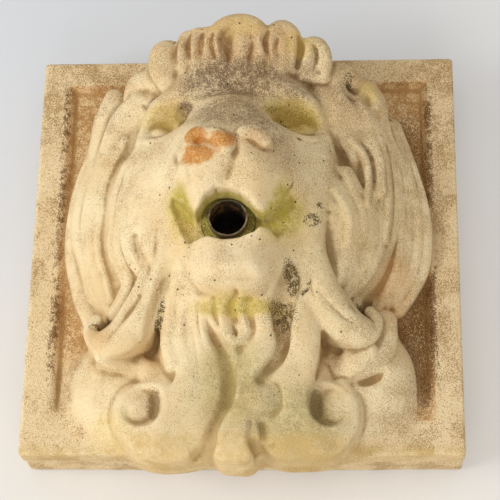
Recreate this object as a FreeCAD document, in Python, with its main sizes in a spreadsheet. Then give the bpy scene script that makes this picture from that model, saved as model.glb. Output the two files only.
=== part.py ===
import FreeCAD, Part
import os

from FreeCAD import Placement, Rotation, Vector
from Sketcher import Constraint
from math import cos, exp, hypot, log, radians, sin

# Garden wall fountain: a cast stone plaque with a lion's head, and the spout, pipe joint and
# hangers that it needs to work. Millimetres. The back of the slab lies on the wall, the plane
# y = 0, and the origin is the centre of that face. X is to the right and Z up as the plaque
# hangs, and the lion looks along -Y. A distance "out" is measured away from the wall.

os.makedirs("parts", exist_ok=True)
doc = FreeCAD.newDocument("wall_fountain")
sheet = doc.addObject("Spreadsheet::Sheet", "sizes")

SIZES = {
    # Slab: a square plate with a raised border round a sunk panel
    "slab_side": 320, "slab_thick": 52, "arris_round": 3,
    "border_side": 20, "border_top": 20, "border_foot": 25, "panel_sink": 6, "panel_slope": 45,
    # Modelling of the head: the slab's side that it was drawn for and grows with, how far it
    # spreads, how deep it is keyed into the slab, how softly its forms run into each other
    "drawn_side": 320,
    "mask_half_wide": 138, "mask_inset": 0.5, "mask_overhang": 20, "mask_key": 14,
    "mask_step": 3.5, "mask_ease": 2, "carving_ease": 1.5,
    # Face: the oval that bounds it, how steeply it falls away outside, the floor of the mouth
    "face_x": -7, "face_z": 30, "face_half_wide": 84, "face_half_high": 100, "face_fall": 250,
    "mouth_floor": 62, "mouth_draft": 2.5,
    # Spout: a copper tube through the mouth, square to the wall
    "spout_x": -7, "spout_z": -8, "spout_reach": 73, "tube_radius": 14, "tube_wall": 1.2,
    "bore_radius": 19, "mouth_mortar_long": 18, "mouth_mortar_back": 6,
    "rear_mortar_long": 12, "fit_gap": 0.1,
    # Service pocket in the back, round the pipe joint
    "pocket_radius": 34, "pocket_deep": 84,
    # Hose tail: its tip near the wall, then barbs, a hexagon, and a thread into the coupling
    "tail_setback": 5, "tail_land": 11, "tail_radius": 9.4, "barb_rise": 0.8, "barb_long": 5,
    "barb_count": 3, "tail_neck": 2, "tail_hex_radius": 17.3, "tail_hex_long": 6,
    "tail_bore": 7.5, "tail_shank_radius": 12, "tail_shank_long": 14,
    # Washer and compression coupling
    "washer_thick": 2, "washer_radius": 16,
    "body_hex_radius": 20.8, "body_hex_long": 16, "body_thread_radius": 17.3,
    "body_thread_long": 10, "body_web": 3, "body_web_bore": 11,
    "nut_hex_radius": 22, "nut_long": 18, "nut_lip": 4, "nut_overlap": 8,
    "olive_edge": 1, "olive_rise": 2.5,
    # Keyhole hangers, one near each upper corner of the back
    "hanger_from_side": 65, "hanger_from_top": 62,
    "plate_high": 64, "plate_wide": 22, "plate_thick": 2.5,
    "plate_gap": 0.3, "key_hole_radius": 5.5, "key_slot_radius": 2.75,
    "key_drop": 5, "key_rise": 7, "head_room_high": 30, "head_room_wide": 16,
    "head_room_deep": 10, "fixing_pitch": 52,
    # Countersunk screws and the plugs that they bite in
    "screw_radius": 1.9, "screw_long": 22, "head_radius": 3.9, "head_deep": 2,
    "drive_wide": 1, "drive_long": 4.6, "drive_deep": 1.3,
    "plug_radius": 3.5, "plug_long": 24,
}

# Rounded masses of the head: x, z, out from the slab's face, half width, height and depth,
# lean, and how square their outline is.
MASSES = {
    "left_mane": (-74, 30, -2, 48, 88, 40, 0, 2),
    "right_mane": (76, 26, -2, 46, 84, 40, 0, 2),
    "left_shoulder": (-86, -114, -12, 44, 42, 28, 0, 2.2),
    "right_shoulder": (84, -110, -10, 44, 50, 30, 0, 2.2),
    "beard": (-3, -90, 6, 58, 60, 32, 0, 2.2),
    "beard_foot": (-2, -132, -2, 60, 34, 26, 0, 2.4),
    "throat": (-4, -62, 18, 46, 30, 28, 0, 2),
    "crown_base": (-6, 112, 24, 66, 34, 36, 0, 2),
    "jaw": (-6, -10, 22, 58, 48, 40, 0, 2.2),
}

# The lion's face without its hair: at each height z, the skin's distance out from the slab's
# face at some places x. A thin bent plate is passed through them all.
FACE = {
    122: [(-56, 46), (-32, 56), (-7, 59), (18, 56), (42, 47)],
    108: [(-66, 40), (-54, 52), (-32, 63), (-7, 67), (18, 63), (42, 54), (54, 41)],
    95: [(-78, 35), (-68, 49), (-50, 59), (-30, 66), (-7, 72), (16, 66), (38, 60), (55, 50),
        (65, 36)],
    80: [(-84, 32), (-74, 48), (-57, 50), (-40, 59), (-22, 72), (-7, 76), (9, 72), (27, 59),
        (44, 51), (61, 48), (71, 33)],
    66: [(-88, 28), (-78, 47), (-60, 52), (-44, 67), (-26, 82), (-7, 86), (12, 82), (30, 67),
        (45, 53), (66, 47), (76, 31)],
    52: [(-92, 26), (-82, 45), (-64, 57), (-48, 73), (-30, 89), (-7, 95), (16, 89), (34, 73),
        (50, 58), (70, 47), (80, 30)],
    38: [(-93, 24), (-84, 45), (-66, 59), (-50, 75), (-32, 92), (-7, 100), (18, 92), (36, 76),
        (52, 60), (70, 47), (80, 30)],
    24: [(-93, 24), (-84, 45), (-66, 59), (-52, 71), (-36, 89), (-22, 97), (-7, 96), (8, 97),
        (24, 90), (40, 73), (54, 59), (69, 46), (79, 30)],
    8: [(-92, 25), (-82, 45), (-66, 57), (-52, 65), (-40, 79), (-26, 92), (-7, 92), (14, 92),
        (28, 81), (41, 66), (54, 57), (66, 46), (77, 28)],
    -8: [(-89, 25), (-78, 45), (-63, 55), (-48, 62), (-28, 86), (-7, 86), (17, 86), (37, 63),
        (50, 55), (62, 45), (73, 28)],
    -24: [(-82, 24), (-71, 43), (-57, 51), (-42, 61), (-26, 76), (-4, 79), (18, 77), (31, 63),
        (46, 51), (59, 42), (70, 26)],
    -40: [(-74, 22), (-62, 40), (-48, 48), (-37, 60), (-24, 75), (-3, 80), (18, 75), (31, 60),
        (43, 47), (54, 38), (65, 22)],
    -54: [(-60, 24), (-46, 39), (-34, 48), (-20, 67), (-3, 73), (14, 67), (28, 48), (42, 38),
        (52, 26)],
    -66: [(-40, 32), (-20, 41), (-3, 44), (14, 41), (34, 32)],
}

# The open mouth: its outline round the lips, its corners and the chin, as x and z.
MOUTH = [(-56, 26), (-52, 16), (-47, 10), (-38, 3), (-29, -7), (-23, -2), (-16, 4), (-6, 7),
         (4, 3), (12, -3), (19, -8), (23, -5), (31, 4), (39, 14), (43, 26), (45, 18), (41, 5),
         (37, -11), (28, -20), (22, -16), (16, -17), (12, -21), (2, -25), (-11, -26), (-21, -23),
         (-29, -24), (-36, -25), (-41, -14), (-49, 6)]

# Locks of hair: how flat, then points along the lock of x, z, out from the slab's face and
# half the lock's width.
LOCKS = {
    "mane_left_1": (0.5, [(-107, 99, 16.5, 9), (-110, 74, 12, 10), (-117, 48, 8, 12),
        (-121, 24, 6, 12), (-122, -6, 4, 12), (-116, -37, 3.5, 11), (-109, -59, 4.5, 9)]),
    "mane_left_2": (0.5, [(-99, 84, 24.5, 9), (-107, 59, 21, 10), (-113, 40, 17.5, 11),
        (-117, 18, 15.5, 11), (-115, -1, 13.5, 11), (-110, -19, 13, 10), (-105, -40, 11.5, 9)]),
    "mane_left_3": (0.5, [(-89, 72, 32.5, 9), (-98, 53, 28, 10), (-104, 36, 26, 10),
        (-105, 17, 24, 10), (-107, -1, 22, 10), (-105, -18, 20.5, 9), (-99, -36, 18, 8),
        (-96, -49, 15.5, 7)]),
    "mane_left_4": (0.5, [(-81, 46, 40.5, 9), (-87, 24, 38.5, 9), (-89, 2, 37, 8),
        (-90, -11, 35, 8), (-88, -21, 33, 8), (-83, -32, 31.5, 7), (-81, -41, 30, 6),
        (-85, -51, 26, 6), (-93, -61, 21.5, 5)]),
    "mane_left_5": (0.5, [(-77, 21, 45, 8), (-80, 0, 43.5, 7), (-80, -15, 42, 6),
        (-76, -26, 40, 6), (-73, -33, 39, 4)]),
    "mane_right_1": (0.5, [(111, 91, 15, 8), (121, 58, 12.5, 9), (128, 28, 10, 10),
        (129, 6, 7.5, 11), (127, -17, 6.5, 11), (120, -35, 6, 10), (112, -49, 5.5, 9)]),
    "mane_right_2": (0.5, [(102, 86, 25.5, 7), (111, 62, 21, 8), (114, 46, 18.5, 9),
        (116, 24, 16.5, 9), (117, 0, 14.5, 9), (113, -24, 13.5, 9), (106, -42, 12, 8),
        (100, -54, 12, 6)]),
    "mane_right_3": (0.5, [(96, 83, 31.5, 7), (103, 65, 29, 8), (106, 48, 27, 8),
        (107, 30, 24.5, 9), (106, 11, 22.5, 9), (102, -6, 20.5, 9), (94, -28, 19, 8),
        (83, -44, 18.5, 7), (82, -53, 18.5, 5)]),
    "mane_right_4": (0.5, [(81, 68, 39, 8), (90, 53, 37, 8), (94, 34, 34.5, 9), (95, 18, 32.5, 9),
        (95, 1, 30.5, 9), (94, -16, 28.5, 9), (87, -33, 27, 8), (75, -47, 26, 6)]),
    "mane_right_5": (0.5, [(76, 39, 43.5, 7), (82, 25, 41, 8), (87, 14, 39, 8), (89, -1, 37.5, 7),
        (85, -19, 34.5, 7), (76, -36, 32, 6)]),
    "mane_right_6": (0.5, [(69, 24, 46.5, 9), (76, 11, 45, 8), (79, 0, 43, 8), (78, -17, 40, 8),
        (73, -30, 37.5, 7), (68, -40, 35.5, 5)]),
    "cheek_tongue": (0.7, [(-66, 14, 45, 12), (-67, -8, 45, 9), (-68, -21, 44, 7),
        (-69, -30, 42, 3)]),
    "jaw_fall_left": (0.6, [(-53, 4, 50, 13), (-55, -19, 48, 13), (-60, -42, 44, 13),
        (-67, -60, 40, 14), (-78, -77, 36, 14), (-90, -86, 33, 12), (-101, -86, 30, 8),
        (-108, -76, 28, 5), (-104, -67, 27, 4)]),
    "jaw_edge_left": (0.7, [(-43, -15, 50, 9), (-45, -34, 48, 8), (-48, -52, 45, 5)]),
    "beard_left_1": (0.8, [(-46, -34, 42, 6), (-49, -54, 40, 6), (-51, -74, 37, 6),
        (-50, -90, 34, 6), (-47, -102, 32, 6)]),
    "beard_left_2": (0.8, [(-41, -51, 43, 4), (-42, -69, 40, 4), (-41, -87, 36, 5),
        (-36, -105, 32, 6)]),
    "band_left": (0.42, [(-29, -59, 44, 9), (-27, -77, 40, 11), (-23, -95, 36, 14),
        (-23, -110, 33, 18), (-28, -129, 28, 23), (-38, -146, 22, 24)]),
    "volute_left": (0.5, [(-53, -142, 18, 30), (-60, -139, 18, 29)]),
    "volute_right": (0.5, [(49, -140, 18, 30), (55, -138, 18, 29)]),
    "beard_crest": (0.8, [(-21, -58, 45, 4), (-18, -74, 42, 4), (-10, -92, 39, 4.5),
        (-4, -107, 37, 5), (-1, -124, 35, 6), (-1, -136, 32, 6)]),
    "beard_mid_1": (0.8, [(-13, -60, 46, 4), (-12, -74, 43, 4), (-6, -87, 42, 4), (0, -90, 41, 4),
        (4, -84, 42, 3.5), (2, -77, 42, 3)]),
    "beard_mid_2": (0.8, [(0, -59, 47, 4.5), (2, -69, 44, 4), (6, -79, 43, 3.5), (4, -89, 41, 3)]),
    "beard_tear": (0.55, [(13, -62, 45, 7), (17, -76, 41, 11), (17, -91, 38, 13),
        (13, -104, 36, 11), (6, -116, 35, 8), (4, -126, 34, 6)]),
    "beard_pearl": (0.6, [(14, -128, 32, 12), (16, -132, 32, 13)]),
    "band_right": (0.42, [(38, -60, 44, 9), (44, -77, 40, 13), (41, -95, 36, 16),
        (36, -113, 32, 18), (34, -131, 27, 22), (35, -148, 22, 22)]),
    "jaw_fall_right": (0.6, [(46, 3, 50, 13), (48, -16, 48, 13), (52, -34, 45, 13),
        (59, -53, 41, 14), (70, -68, 37, 15), (82, -78, 33, 13), (92, -78, 30, 8),
        (97, -69, 28, 5), (93, -62, 27, 4)]),
    "jaw_edge_right": (0.7, [(37, -20, 50, 8), (39, -33, 48, 7), (41, -45, 46, 4)]),
    "crown_far_left": (0.9, [(-83, 115, 34, 8), (-81, 124, 36, 8), (-74, 129, 37, 8),
        (-68, 125, 37, 7)]),
    "crown_left": (0.9, [(-60, 120, 48, 9), (-63, 131, 50, 10), (-60, 137, 50, 11),
        (-55, 137, 51, 9), (-51, 128, 52, 7)]),
    "crown_rib_1": (0.9, [(-42, 121, 61, 6), (-43, 134, 61, 7), (-39, 143, 60, 7)]),
    "crown_rib_2": (0.9, [(-34, 120, 65, 5), (-34, 135, 64, 6), (-32, 144, 62, 7)]),
    "crown_rib_3": (0.9, [(-26, 120, 66, 5), (-26, 134, 65, 6), (-26, 143, 63, 7)]),
    "crown_top_back": (0.9, [(-10, 140, 56, 14), (2, 142, 56, 14)]),
    "crown_top": (0.9, [(-18, 121, 65, 7), (-19, 134, 66, 8), (-15, 145, 66, 9), (-7, 150, 65, 9),
        (4, 150, 65, 9), (11, 144, 64, 9), (12, 134, 64, 8), (9, 123, 64, 7)]),
    "crown_top_pearl": (0.9, [(2, 138, 64, 7), (3, 142, 65, 9)]),
    "crown_right_1": (0.9, [(21, 120, 63, 6), (20, 134, 63, 7), (22, 144, 61, 8),
        (29, 149, 60, 8), (36, 145, 58, 8), (39, 134, 58, 7)]),
    "crown_right_2": (0.9, [(47, 114, 54, 6), (46, 129, 55, 7), (48, 138, 53, 8),
        (54, 140, 50, 8), (59, 133, 47, 8), (58, 122, 46, 7)]),
    "crown_far_right": (0.9, [(66, 105, 38, 9), (67, 118, 37, 10), (74, 126, 34, 10),
        (82, 122, 33, 8)]),
    "temple_hair_right": (0.5, [(62, 109, 44, 8), (73, 107, 39, 9), (81, 100, 36, 9),
        (87, 88, 34, 8)]),
    "temple_hair_left": (0.5, [(-74, 107, 42, 9), (-82, 105, 38, 9), (-88, 98, 35, 9),
        (-93, 86, 33, 9)]),
    "ear_left": (0.9, [(-101, 117, 27, 7), (-103, 110, 25, 8), (-103, 100, 23, 7)]),
    "ear_right_back": (0.8, [(92, 112, 20, 13), (94, 100, 20, 10)]),
    "ear_right": (0.9, [(87, 109, 33, 5), (89, 119, 33, 6), (96, 125, 31, 6), (102, 120, 29, 6),
        (103, 110, 27, 6), (101, 99, 26, 5), (98, 89, 25, 5)]),
    "shoulder_rim_right": (0.7, [(104, -66, 16, 9), (102, -82, 16, 10), (92, -93, 18, 10),
        (80, -97, 21, 8)]),
    "drop_left": (0.6, [(-5, -142, 34, 8), (-8, -156, 31, 10), (-8, -163, 26, 10)]),
    "drop_right": (0.6, [(3, -142, 34, 9), (4, -156, 30, 12), (3, -163, 26, 11)]),
}

# Small masses laid on last, the eyeballs and the bosses of the volutes.
EYES = {
    "left_eye": (-60, 70, 47, 9, 7, 8, 0, 2),
    "right_eye": (46, 72, 47, 9, 7, 8, 0, 2),
    "left_boss": (-72, -129, 12, 11, 13, 12, 0, 2),
    "right_boss": (68, -128, 12, 11, 13, 12, 0, 2),
}

# Hollows carved into the head, listed as the rounded masses are.
HOLLOWS = {
    "left_socket": (-57, 81, 66, 17, 11, 18, -12, 2),
    "right_socket": (44, 82, 66, 17, 11, 18, 12, 2),
    "right_ear_hollow": (94, 108, 34, 5, 9, 7, -10, 2),
    "left_nostril": (-22, 40, 106, 3.5, 3.5, 8, 0, 2),
    "right_nostril": (1, 40, 108, 3.5, 5, 9, 0, 2),
    "left_volute_dish": (-68, -131, 32, 14, 16, 19, 0, 2.2),
    "right_volute_dish": (63, -130, 32, 14, 16, 19, 0, 2.2),
    "crown_hole": (-11, 132, 74, 4, 5, 8, 0, 2),
}

# Grooves between locks: points of x, z, out from the slab's face and half the groove's width.
GROOVES = {
    "valley_left_1": [(-76, -12, 50.4, 2.2), (-73, -25, 48.5, 3.8), (-67, -36, 51.8, 4.5),
        (-72, -47, 51.4, 6), (-78, -62, 48.4, 6), (-87, -73, 46.8, 4.5)],
    "crevice_left": [(-49, -36, 58.8, 4.5), (-52, -48, 51.4, 6), (-55, -61, 47.7, 6.8),
        (-58, -76, 43, 7.5), (-62, -84, 36.8, 4.5)],
    "crevice_right": [(44, -33, 59.8, 4.5), (38, -44, 53, 7.5), (34, -57, 48, 7.5),
        (31, -75, 43.4, 6), (31, -92, 42.8, 4.5), (27, -105, 41.5, 3.8), (17, -116, 41.2, 3)],
    "strand_left_2": [(-37, -62, 49.2, 3), (-35, -78, 44.5, 3.8), (-33, -93, 42.5, 3.8),
        (-28, -116, 42.4, 2.2)],
    "strand_middle": [(-22, -69, 50, 3.8), (-16, -88, 44.8, 4.5), (-7, -102, 42.8, 4.5),
        (-5, -114, 42.1, 5.2), (-6, -127, 40.1, 5.2), (-11, -140, 38.8, 4.5),
        (-16, -154, 34.8, 4.5), (-22, -166, 28.8, 4.5)],
    "chin_left": [(-40, -28, 67.6, 1.5), (-41, -40, 60, 2.4), (-37, -52, 54.1, 2.7),
        (-28, -60, 53.6, 2.4)],
    "chin_right": [(31, -30, 69.6, 1.5), (34, -39, 64.1, 2.7), (33, -48, 59.3, 3.3),
        (26, -58, 56.2, 3)],
    "hair_hole_left": [(-109, -69, 42.8, 4.5), (-99, -71, 42, 7.5), (-90, -66, 46.8, 4.5)],
    "hair_hole_right": [(82, -60, 44.8, 4.5), (88, -62, 41, 7.5), (94, -62, 42.8, 4.5)],
}
MASS_FIELDS = ("x", "z", "out", "half_wide", "half_high", "half_deep", "lean", "squareness")
POINT_FIELDS = ("x", "z", "out", "half_wide")
FACING = Rotation(Vector(1, 0, 0), 90)

cells = dict(SIZES)


def enter(name, fields, values):
    """Enter a form's values in the list of sizes, each named for the form and its field."""
    for field, value in zip(fields, values):
        cells[f"{name}_{field}"] = value


for form, values in (MASSES | EYES | HOLLOWS).items():
    enter(form, MASS_FIELDS, values)
for form, (flat, points) in LOCKS.items():
    enter(form, ["flat"], [flat])
    for n, point in enumerate(points):
        enter(f"{form}_{n}", POINT_FIELDS, point)
for form, points in GROOVES.items():
    for n, point in enumerate(points):
        enter(f"{form}_{n}", POINT_FIELDS, point)
for row, (height, places) in enumerate(FACE.items()):
    enter(f"face_row_{row}", ["z"], [height])
    for n, place in enumerate(places):
        enter(f"face_row_{row}_{n}", ("x", "out"), place)
for n, corner in enumerate(MOUTH):
    enter(f"mouth_{n}", ("x", "z"), corner)
for line, (word, value) in enumerate(cells.items(), 1):
    sheet.set(f"A{line}", word)
    sheet.set(f"B{line}", str(value))
    sheet.setAlias(f"B{line}", word)
doc.recompute()


def size(name):
    """A size as the sheet holds it."""
    return float(sheet.get(name))


def sizes_of(name, fields):
    """A form's sizes as the sheet holds them."""
    return [size(f"{name}_{field}") for field in fields]


def rule(text):
    """Turn $word into a reference to that size in the sheet."""
    return text.replace("$", "sizes.")


def put(thing, x="0", out="0", z="0", rotation=None):
    """Place a thing at x, out from the wall and z, each an expression on the sheet."""
    if rotation is not None:
        thing.Placement = Placement(Vector(), rotation)
    thing.setExpression("Placement.Base.x", rule(x))
    thing.setExpression("Placement.Base.y", rule(f"-({out})"))
    thing.setExpression("Placement.Base.z", rule(z))
    return thing


def solid(kind, name, **measures):
    """Add a solid primitive whose sizes are expressions on the sheet."""
    thing = doc.addObject(kind, name)
    for key, text in measures.items():
        thing.setExpression(key, rule(text))
    return thing


def rod(name, radius, x, out, z, length):
    """A round rod square to the wall, from "out" away from it."""
    thing = solid("Part::Cylinder", name, Radius=radius, Height=length)
    return put(thing, x, out, z, FACING)


def taper(name, near, far, x, out, z, length):
    """A round taper square to the wall, of radius near at "out" and far at its other end."""
    thing = solid("Part::Cone", name, Radius1=near, Radius2=far, Height=length)
    return put(thing, x, out, z, FACING)


def hexagon(name, radius, x, out, z, length):
    """A six-sided bar square to the wall; radius is to its corners."""
    thing = solid("Part::Prism", name, Circumradius=radius, Height=length)
    thing.Polygon = 6
    return put(thing, x, out, z, FACING)


def block(name, x, out, z, wide, deep, high):
    """A box centred on x and z, reaching from "out" further away from the wall."""
    thing = solid("Part::Box", name, Length=wide, Width=deep, Height=high)
    return put(thing, f"{x} - ({wide}) / 2", f"{out} + {deep}", f"{z} - ({high}) / 2")


def fuse(name, *things):
    whole = doc.addObject("Part::MultiFuse", name)
    whole.Shapes = list(things)
    return whole


def cut(name, base, *tools):
    whole = doc.addObject("Part::Cut", name)
    whole.Base = base
    whole.Tool = tools[0] if len(tools) == 1 else fuse(name + "_tools", *tools)
    return whole


def group(name, *things):
    whole = doc.addObject("Part::Compound", name)
    whole.Links = list(things)
    return whole


def new_sketch(body, name, out="0"):
    """A sketch parallel to the wall, at a distance out from it."""
    sketch = body.newObject("Sketcher::SketchObject", name)
    plane = [item for item in body.Origin.OriginFeatures if item.Role == "XZ_Plane"][0]
    sketch.AttachmentSupport = [(plane, "")]
    sketch.MapMode = "FlatFace"
    sketch.setExpression("AttachmentOffset.Base.z", rule(out))
    return sketch


def bind(sketch, name, constraint, text):
    """Add a constraint whose value is an expression on the sheet."""
    index = sketch.addConstraint(constraint)
    sketch.renameConstraint(index, name)
    sketch.setExpression(f"Constraints.{name}", rule(text))


def rectangle(sketch, left, right, foot, top):
    """Draw a rectangle; its four sides are distances from the sketch's origin."""
    corners = (Vector(-1, -1, 0), Vector(1, -1, 0), Vector(1, 1, 0), Vector(-1, 1, 0))
    for start, end in zip(corners, corners[1:] + corners[:1]):
        sketch.addGeometry(Part.LineSegment(start, end))
    for side, level in enumerate(("Horizontal", "Vertical", "Horizontal", "Vertical")):
        sketch.addConstraint(Constraint("Coincident", side, 2, (side + 1) % 4, 1))
        sketch.addConstraint(Constraint(level, side))
    bind(sketch, "left", Constraint("DistanceX", 3, 2, -1, 1, 1.0), left)
    bind(sketch, "right", Constraint("DistanceX", -1, 1, 1, 1, 1.0), right)
    bind(sketch, "foot", Constraint("DistanceY", 0, 1, -1, 1, 1.0), foot)
    bind(sketch, "top", Constraint("DistanceY", -1, 1, 2, 1, 1.0), top)


# The slab: a square plate, its front sunk to a panel inside a border, with worn edges.
slab = doc.addObject("PartDesign::Body", "slab")
outline = new_sketch(slab, "slab_outline")
rectangle(outline, *["$slab_side / 2"] * 4)
plate = slab.newObject("PartDesign::Pad", "slab_plate")
plate.Profile = outline
plate.setExpression("Length", rule("$slab_thick"))
doc.recompute()

panel_outline = new_sketch(slab, "panel_outline", "$slab_thick")
panel_side = "$slab_side / 2 - $border_side"
rectangle(panel_outline, panel_side, panel_side, "$slab_side / 2 - $border_foot",
          "$slab_side / 2 - $border_top")
panel = slab.newObject("PartDesign::Pocket", "slab_panel")
panel.Profile = panel_outline
panel.setExpression("Length", rule("$panel_sink"))
panel.setExpression("TaperAngle", rule("-$panel_slope"))
doc.recompute()


def on_rim(edge):
    """True for the edges of the slab's front outline and of its four corners."""
    middle = edge.CenterOfMass
    half = size("slab_side") / 2
    return max(abs(middle.x), abs(middle.z)) > half - 0.01 and middle.y < -0.01


arris = slab.newObject("PartDesign::Fillet", "slab_arris")
arris.Base = (panel, [f"Edge{n}" for n, edge in enumerate(panel.Shape.Edges, 1) if on_rim(edge)])
arris.setExpression("Radius", rule("$arris_round"))
slab.Tip = arris
doc.recompute()


# The head: one modelled surface, the upper envelope of its masses, its locks and its face, with
# the mouth, hollows and grooves carved in. Each form has its own place and size.
STEEP_FROM = 0.96


def swell(share, power=2):
    """Height of a round form, as a share of its depth, at a share of its radius.

    It is a circle's height, or a squarer curve's for a higher power, up to STEEP_FROM, and from
    there falls along that curve's tangent."""
    if share < STEEP_FROM:
        return (1 - share ** power) ** (1 / power)
    edge = (1 - STEEP_FROM ** power) ** (1 / power)
    return edge - (STEEP_FROM / edge) ** (power - 1) * (share - STEEP_FROM)


def mass_rise(form, x, z):
    """Rise of a rounded mass over its own middle plane, at x and z."""
    mid_x, mid_z, _, half_wide, half_high, half_deep, lean, power = form
    turn = radians(lean)
    across = abs((x - mid_x) * cos(turn) - (z - mid_z) * sin(turn)) / half_wide
    up = abs((x - mid_x) * sin(turn) + (z - mid_z) * cos(turn)) / half_high
    return half_deep * swell((across ** power + up ** power) ** (1 / power), power)


def lock_top(points, flat, x, z, side=1):
    """Height of a lock's top at x and z, or with side -1 of a groove's floor; None if far off.

    Between two of its points its middle line and width run straight."""
    best = None
    for (x0, z0, out0, wide0), (x1, z1, out1, wide1) in zip(points, points[1:]):
        if max(min(x0, x1) - x, x - max(x0, x1), min(z0, z1) - z, z - max(z0, z1)) > 2 * wide0:
            continue
        run = (x1 - x0) ** 2 + (z1 - z0) ** 2 + 1e-9
        along = min(max(((x - x0) * (x1 - x0) + (z - z0) * (z1 - z0)) / run, 0), 1)
        away = hypot(x - x0 - along * (x1 - x0), z - z0 - along * (z1 - z0))
        wide = wide0 + along * (wide1 - wide0)
        height = out0 + along * (out1 - out0) + side * flat * wide * swell(away / wide)
        best = height if best is None else side * max(side * best, side * height)
    return best


def bend(away):
    """How a thin plate bends under a point load, at a distance from it."""
    return away * away * log(away) if away > 1e-9 else 0.0


def plate_through(places):
    """Loads that bend a thin plate through the heights of some places, by elimination."""
    count = len(places)
    rows = [[bend(hypot(x - px, z - pz)) for px, pz, _ in places] + [1, x, z, out]
            for x, z, out in places]
    rows += [[1] * count + [0] * 4]
    rows += [[place[way] for place in places] + [0] * 4 for way in (0, 1)]
    for n in range(count + 3):
        pivot = max(range(n, count + 3), key=lambda row: abs(rows[row][n]))
        rows[n], rows[pivot] = rows[pivot], rows[n]
        for row in range(n + 1, count + 3):
            share = rows[row][n] / rows[n][n]
            if share:
                rows[row] = [a - share * b for a, b in zip(rows[row], rows[n])]
    loads = [0.0] * (count + 3)
    for n in reversed(range(count + 3)):
        known = sum(rows[n][k] * loads[k] for k in range(n + 1, count + 3))
        loads[n] = (rows[n][-1] - known) / rows[n][n]
    return loads


def face_height(x, z):
    """Height of the face's skin, which falls away steeply outside the face's oval."""
    share = hypot((x - face_x) / face_half_wide, (z - face_z) / face_half_high)
    across, up = x / 100, z / 100
    height = skin[-3] + skin[-2] * across + skin[-1] * up
    height += sum(load * bend(hypot(across - px, up - pz))
                  for load, (px, pz, _) in zip(skin, skin_places))
    return height - face_fall * max(share - 0.97, 0)


def mouth_height(x, z):
    """Height of the mouth's floor at x and z, and outside its outline that of its sloping wall."""
    nearest = 1e9
    inside = False
    for (x0, z0), (x1, z1) in zip(mouth, mouth[1:] + mouth[:1]):
        run = (x1 - x0) ** 2 + (z1 - z0) ** 2 + 1e-9
        along = min(max(((x - x0) * (x1 - x0) + (z - z0) * (z1 - z0)) / run, 0), 1)
        nearest = min(nearest, hypot(x - x0 - along * (x1 - x0), z - z0 - along * (z1 - z0)))
        if (z0 > z) != (z1 > z) and x < x0 + (x1 - x0) * (z - z0) / (z1 - z0):
            inside = not inside
    return mouth_floor + (0 if inside else mouth_draft * nearest)


def soft_top(heights, ease):
    """The highest of some heights, eased where two are nearly level."""
    top = max(heights)
    return top + ease * log(sum(exp((height - top) / ease) for height in heights
                                if height > top - 8 * ease))


def drawn_height(x, z):
    """Height of the head over the slab's front face at x and z, as it was drawn."""
    heights = [-mask_key / growth, face_height(x, z)]
    heights.extend(form[2] + mass_rise(form, x, z) for form in masses)
    tops = (lock_top(points, flat, x, z) for flat, points in locks)
    heights.extend(top for top in tops if top is not None)
    height = soft_top(heights, mask_ease)
    height = -soft_top((-height, -mouth_height(x, z)), carving_ease)
    for form in hollows:
        height = -soft_top((-height, mass_rise(form, x, z) - form[2]), carving_ease)
    for points in grooves:
        foot = lock_top(points, 1, x, z, -1)
        if foot is not None:
            height = -soft_top((-height, -foot), carving_ease)
    for form in eyes:
        height = soft_top((height, form[2] + mass_rise(form, x, z)), carving_ease)
    return height


def head_height(x, z):
    """Height of the head over the slab's front face, at x and z, grown with the slab."""
    return growth * drawn_height(x / growth, z / growth)


masses = [sizes_of(name, MASS_FIELDS) for name in MASSES]
eyes = [sizes_of(name, MASS_FIELDS) for name in EYES]
hollows = [sizes_of(name, MASS_FIELDS) for name in HOLLOWS]
locks = [(size(f"{name}_flat"), [sizes_of(f"{name}_{n}", POINT_FIELDS)
                                 for n in range(len(points))])
         for name, (flat, points) in LOCKS.items()]
grooves = [[sizes_of(f"{name}_{n}", POINT_FIELDS) for n in range(len(points))]
           for name, points in GROOVES.items()]
mouth = [sizes_of(f"mouth_{n}", ("x", "z")) for n in range(len(MOUTH))]
skin_places = []
for row, places in enumerate(FACE.values()):
    for n in range(len(places)):
        x, out = sizes_of(f"face_row_{row}_{n}", ("x", "out"))
        skin_places.append((x / 100, size(f"face_row_{row}_z") / 100, out))
skin = plate_through(skin_places)
face_x, face_z, face_half_wide, face_half_high, face_fall = sizes_of(
    "face", ("x", "z", "half_wide", "half_high", "fall"))
mouth_floor, mouth_draft = sizes_of("mouth", ("floor", "draft"))
growth = size("slab_side") / size("drawn_side")
mask_key = size("mask_key")
mask_ease = size("mask_ease")
carving_ease = size("carving_ease")


def stations(low, high):
    """Evenly spaced places from low to high, about a modelling step apart."""
    count = int((high - low) / size("mask_step")) + 1
    return [low + (high - low) * index / (count - 1) for index in range(count)]


half_wide = size("mask_half_wide")
columns = stations(-half_wide, half_wide)
rows = stations(-size("slab_side") / 2 - size("mask_overhang"),
                size("slab_side") / 2 - size("mask_inset"))
face_out = size("slab_thick")
root_out = face_out - mask_key - size("panel_sink")
poles = [[Vector(x, -face_out - head_height(x, z), z) for z in rows] for x in columns]
DEGREE = 3


def knots(count):
    """Even knots for that many poles, and how often each counts: the ends hold the edge."""
    inner = count - DEGREE - 1
    return list(range(inner + 2)), [DEGREE + 1] + [1] * inner + [DEGREE + 1]


across_knots, across_counts = knots(len(poles))
up_knots, up_counts = knots(len(poles[0]))
surface = Part.BSplineSurface()
surface.buildFromPolesMultsKnots(poles, across_counts, up_counts, across_knots, up_knots,
                                 False, False, DEGREE, DEGREE)
modelled = surface.toShape()


def rooted(point):
    """The place at the head's flat root behind a point of its surface."""
    return Vector(point.x, -root_out, point.z)


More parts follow.
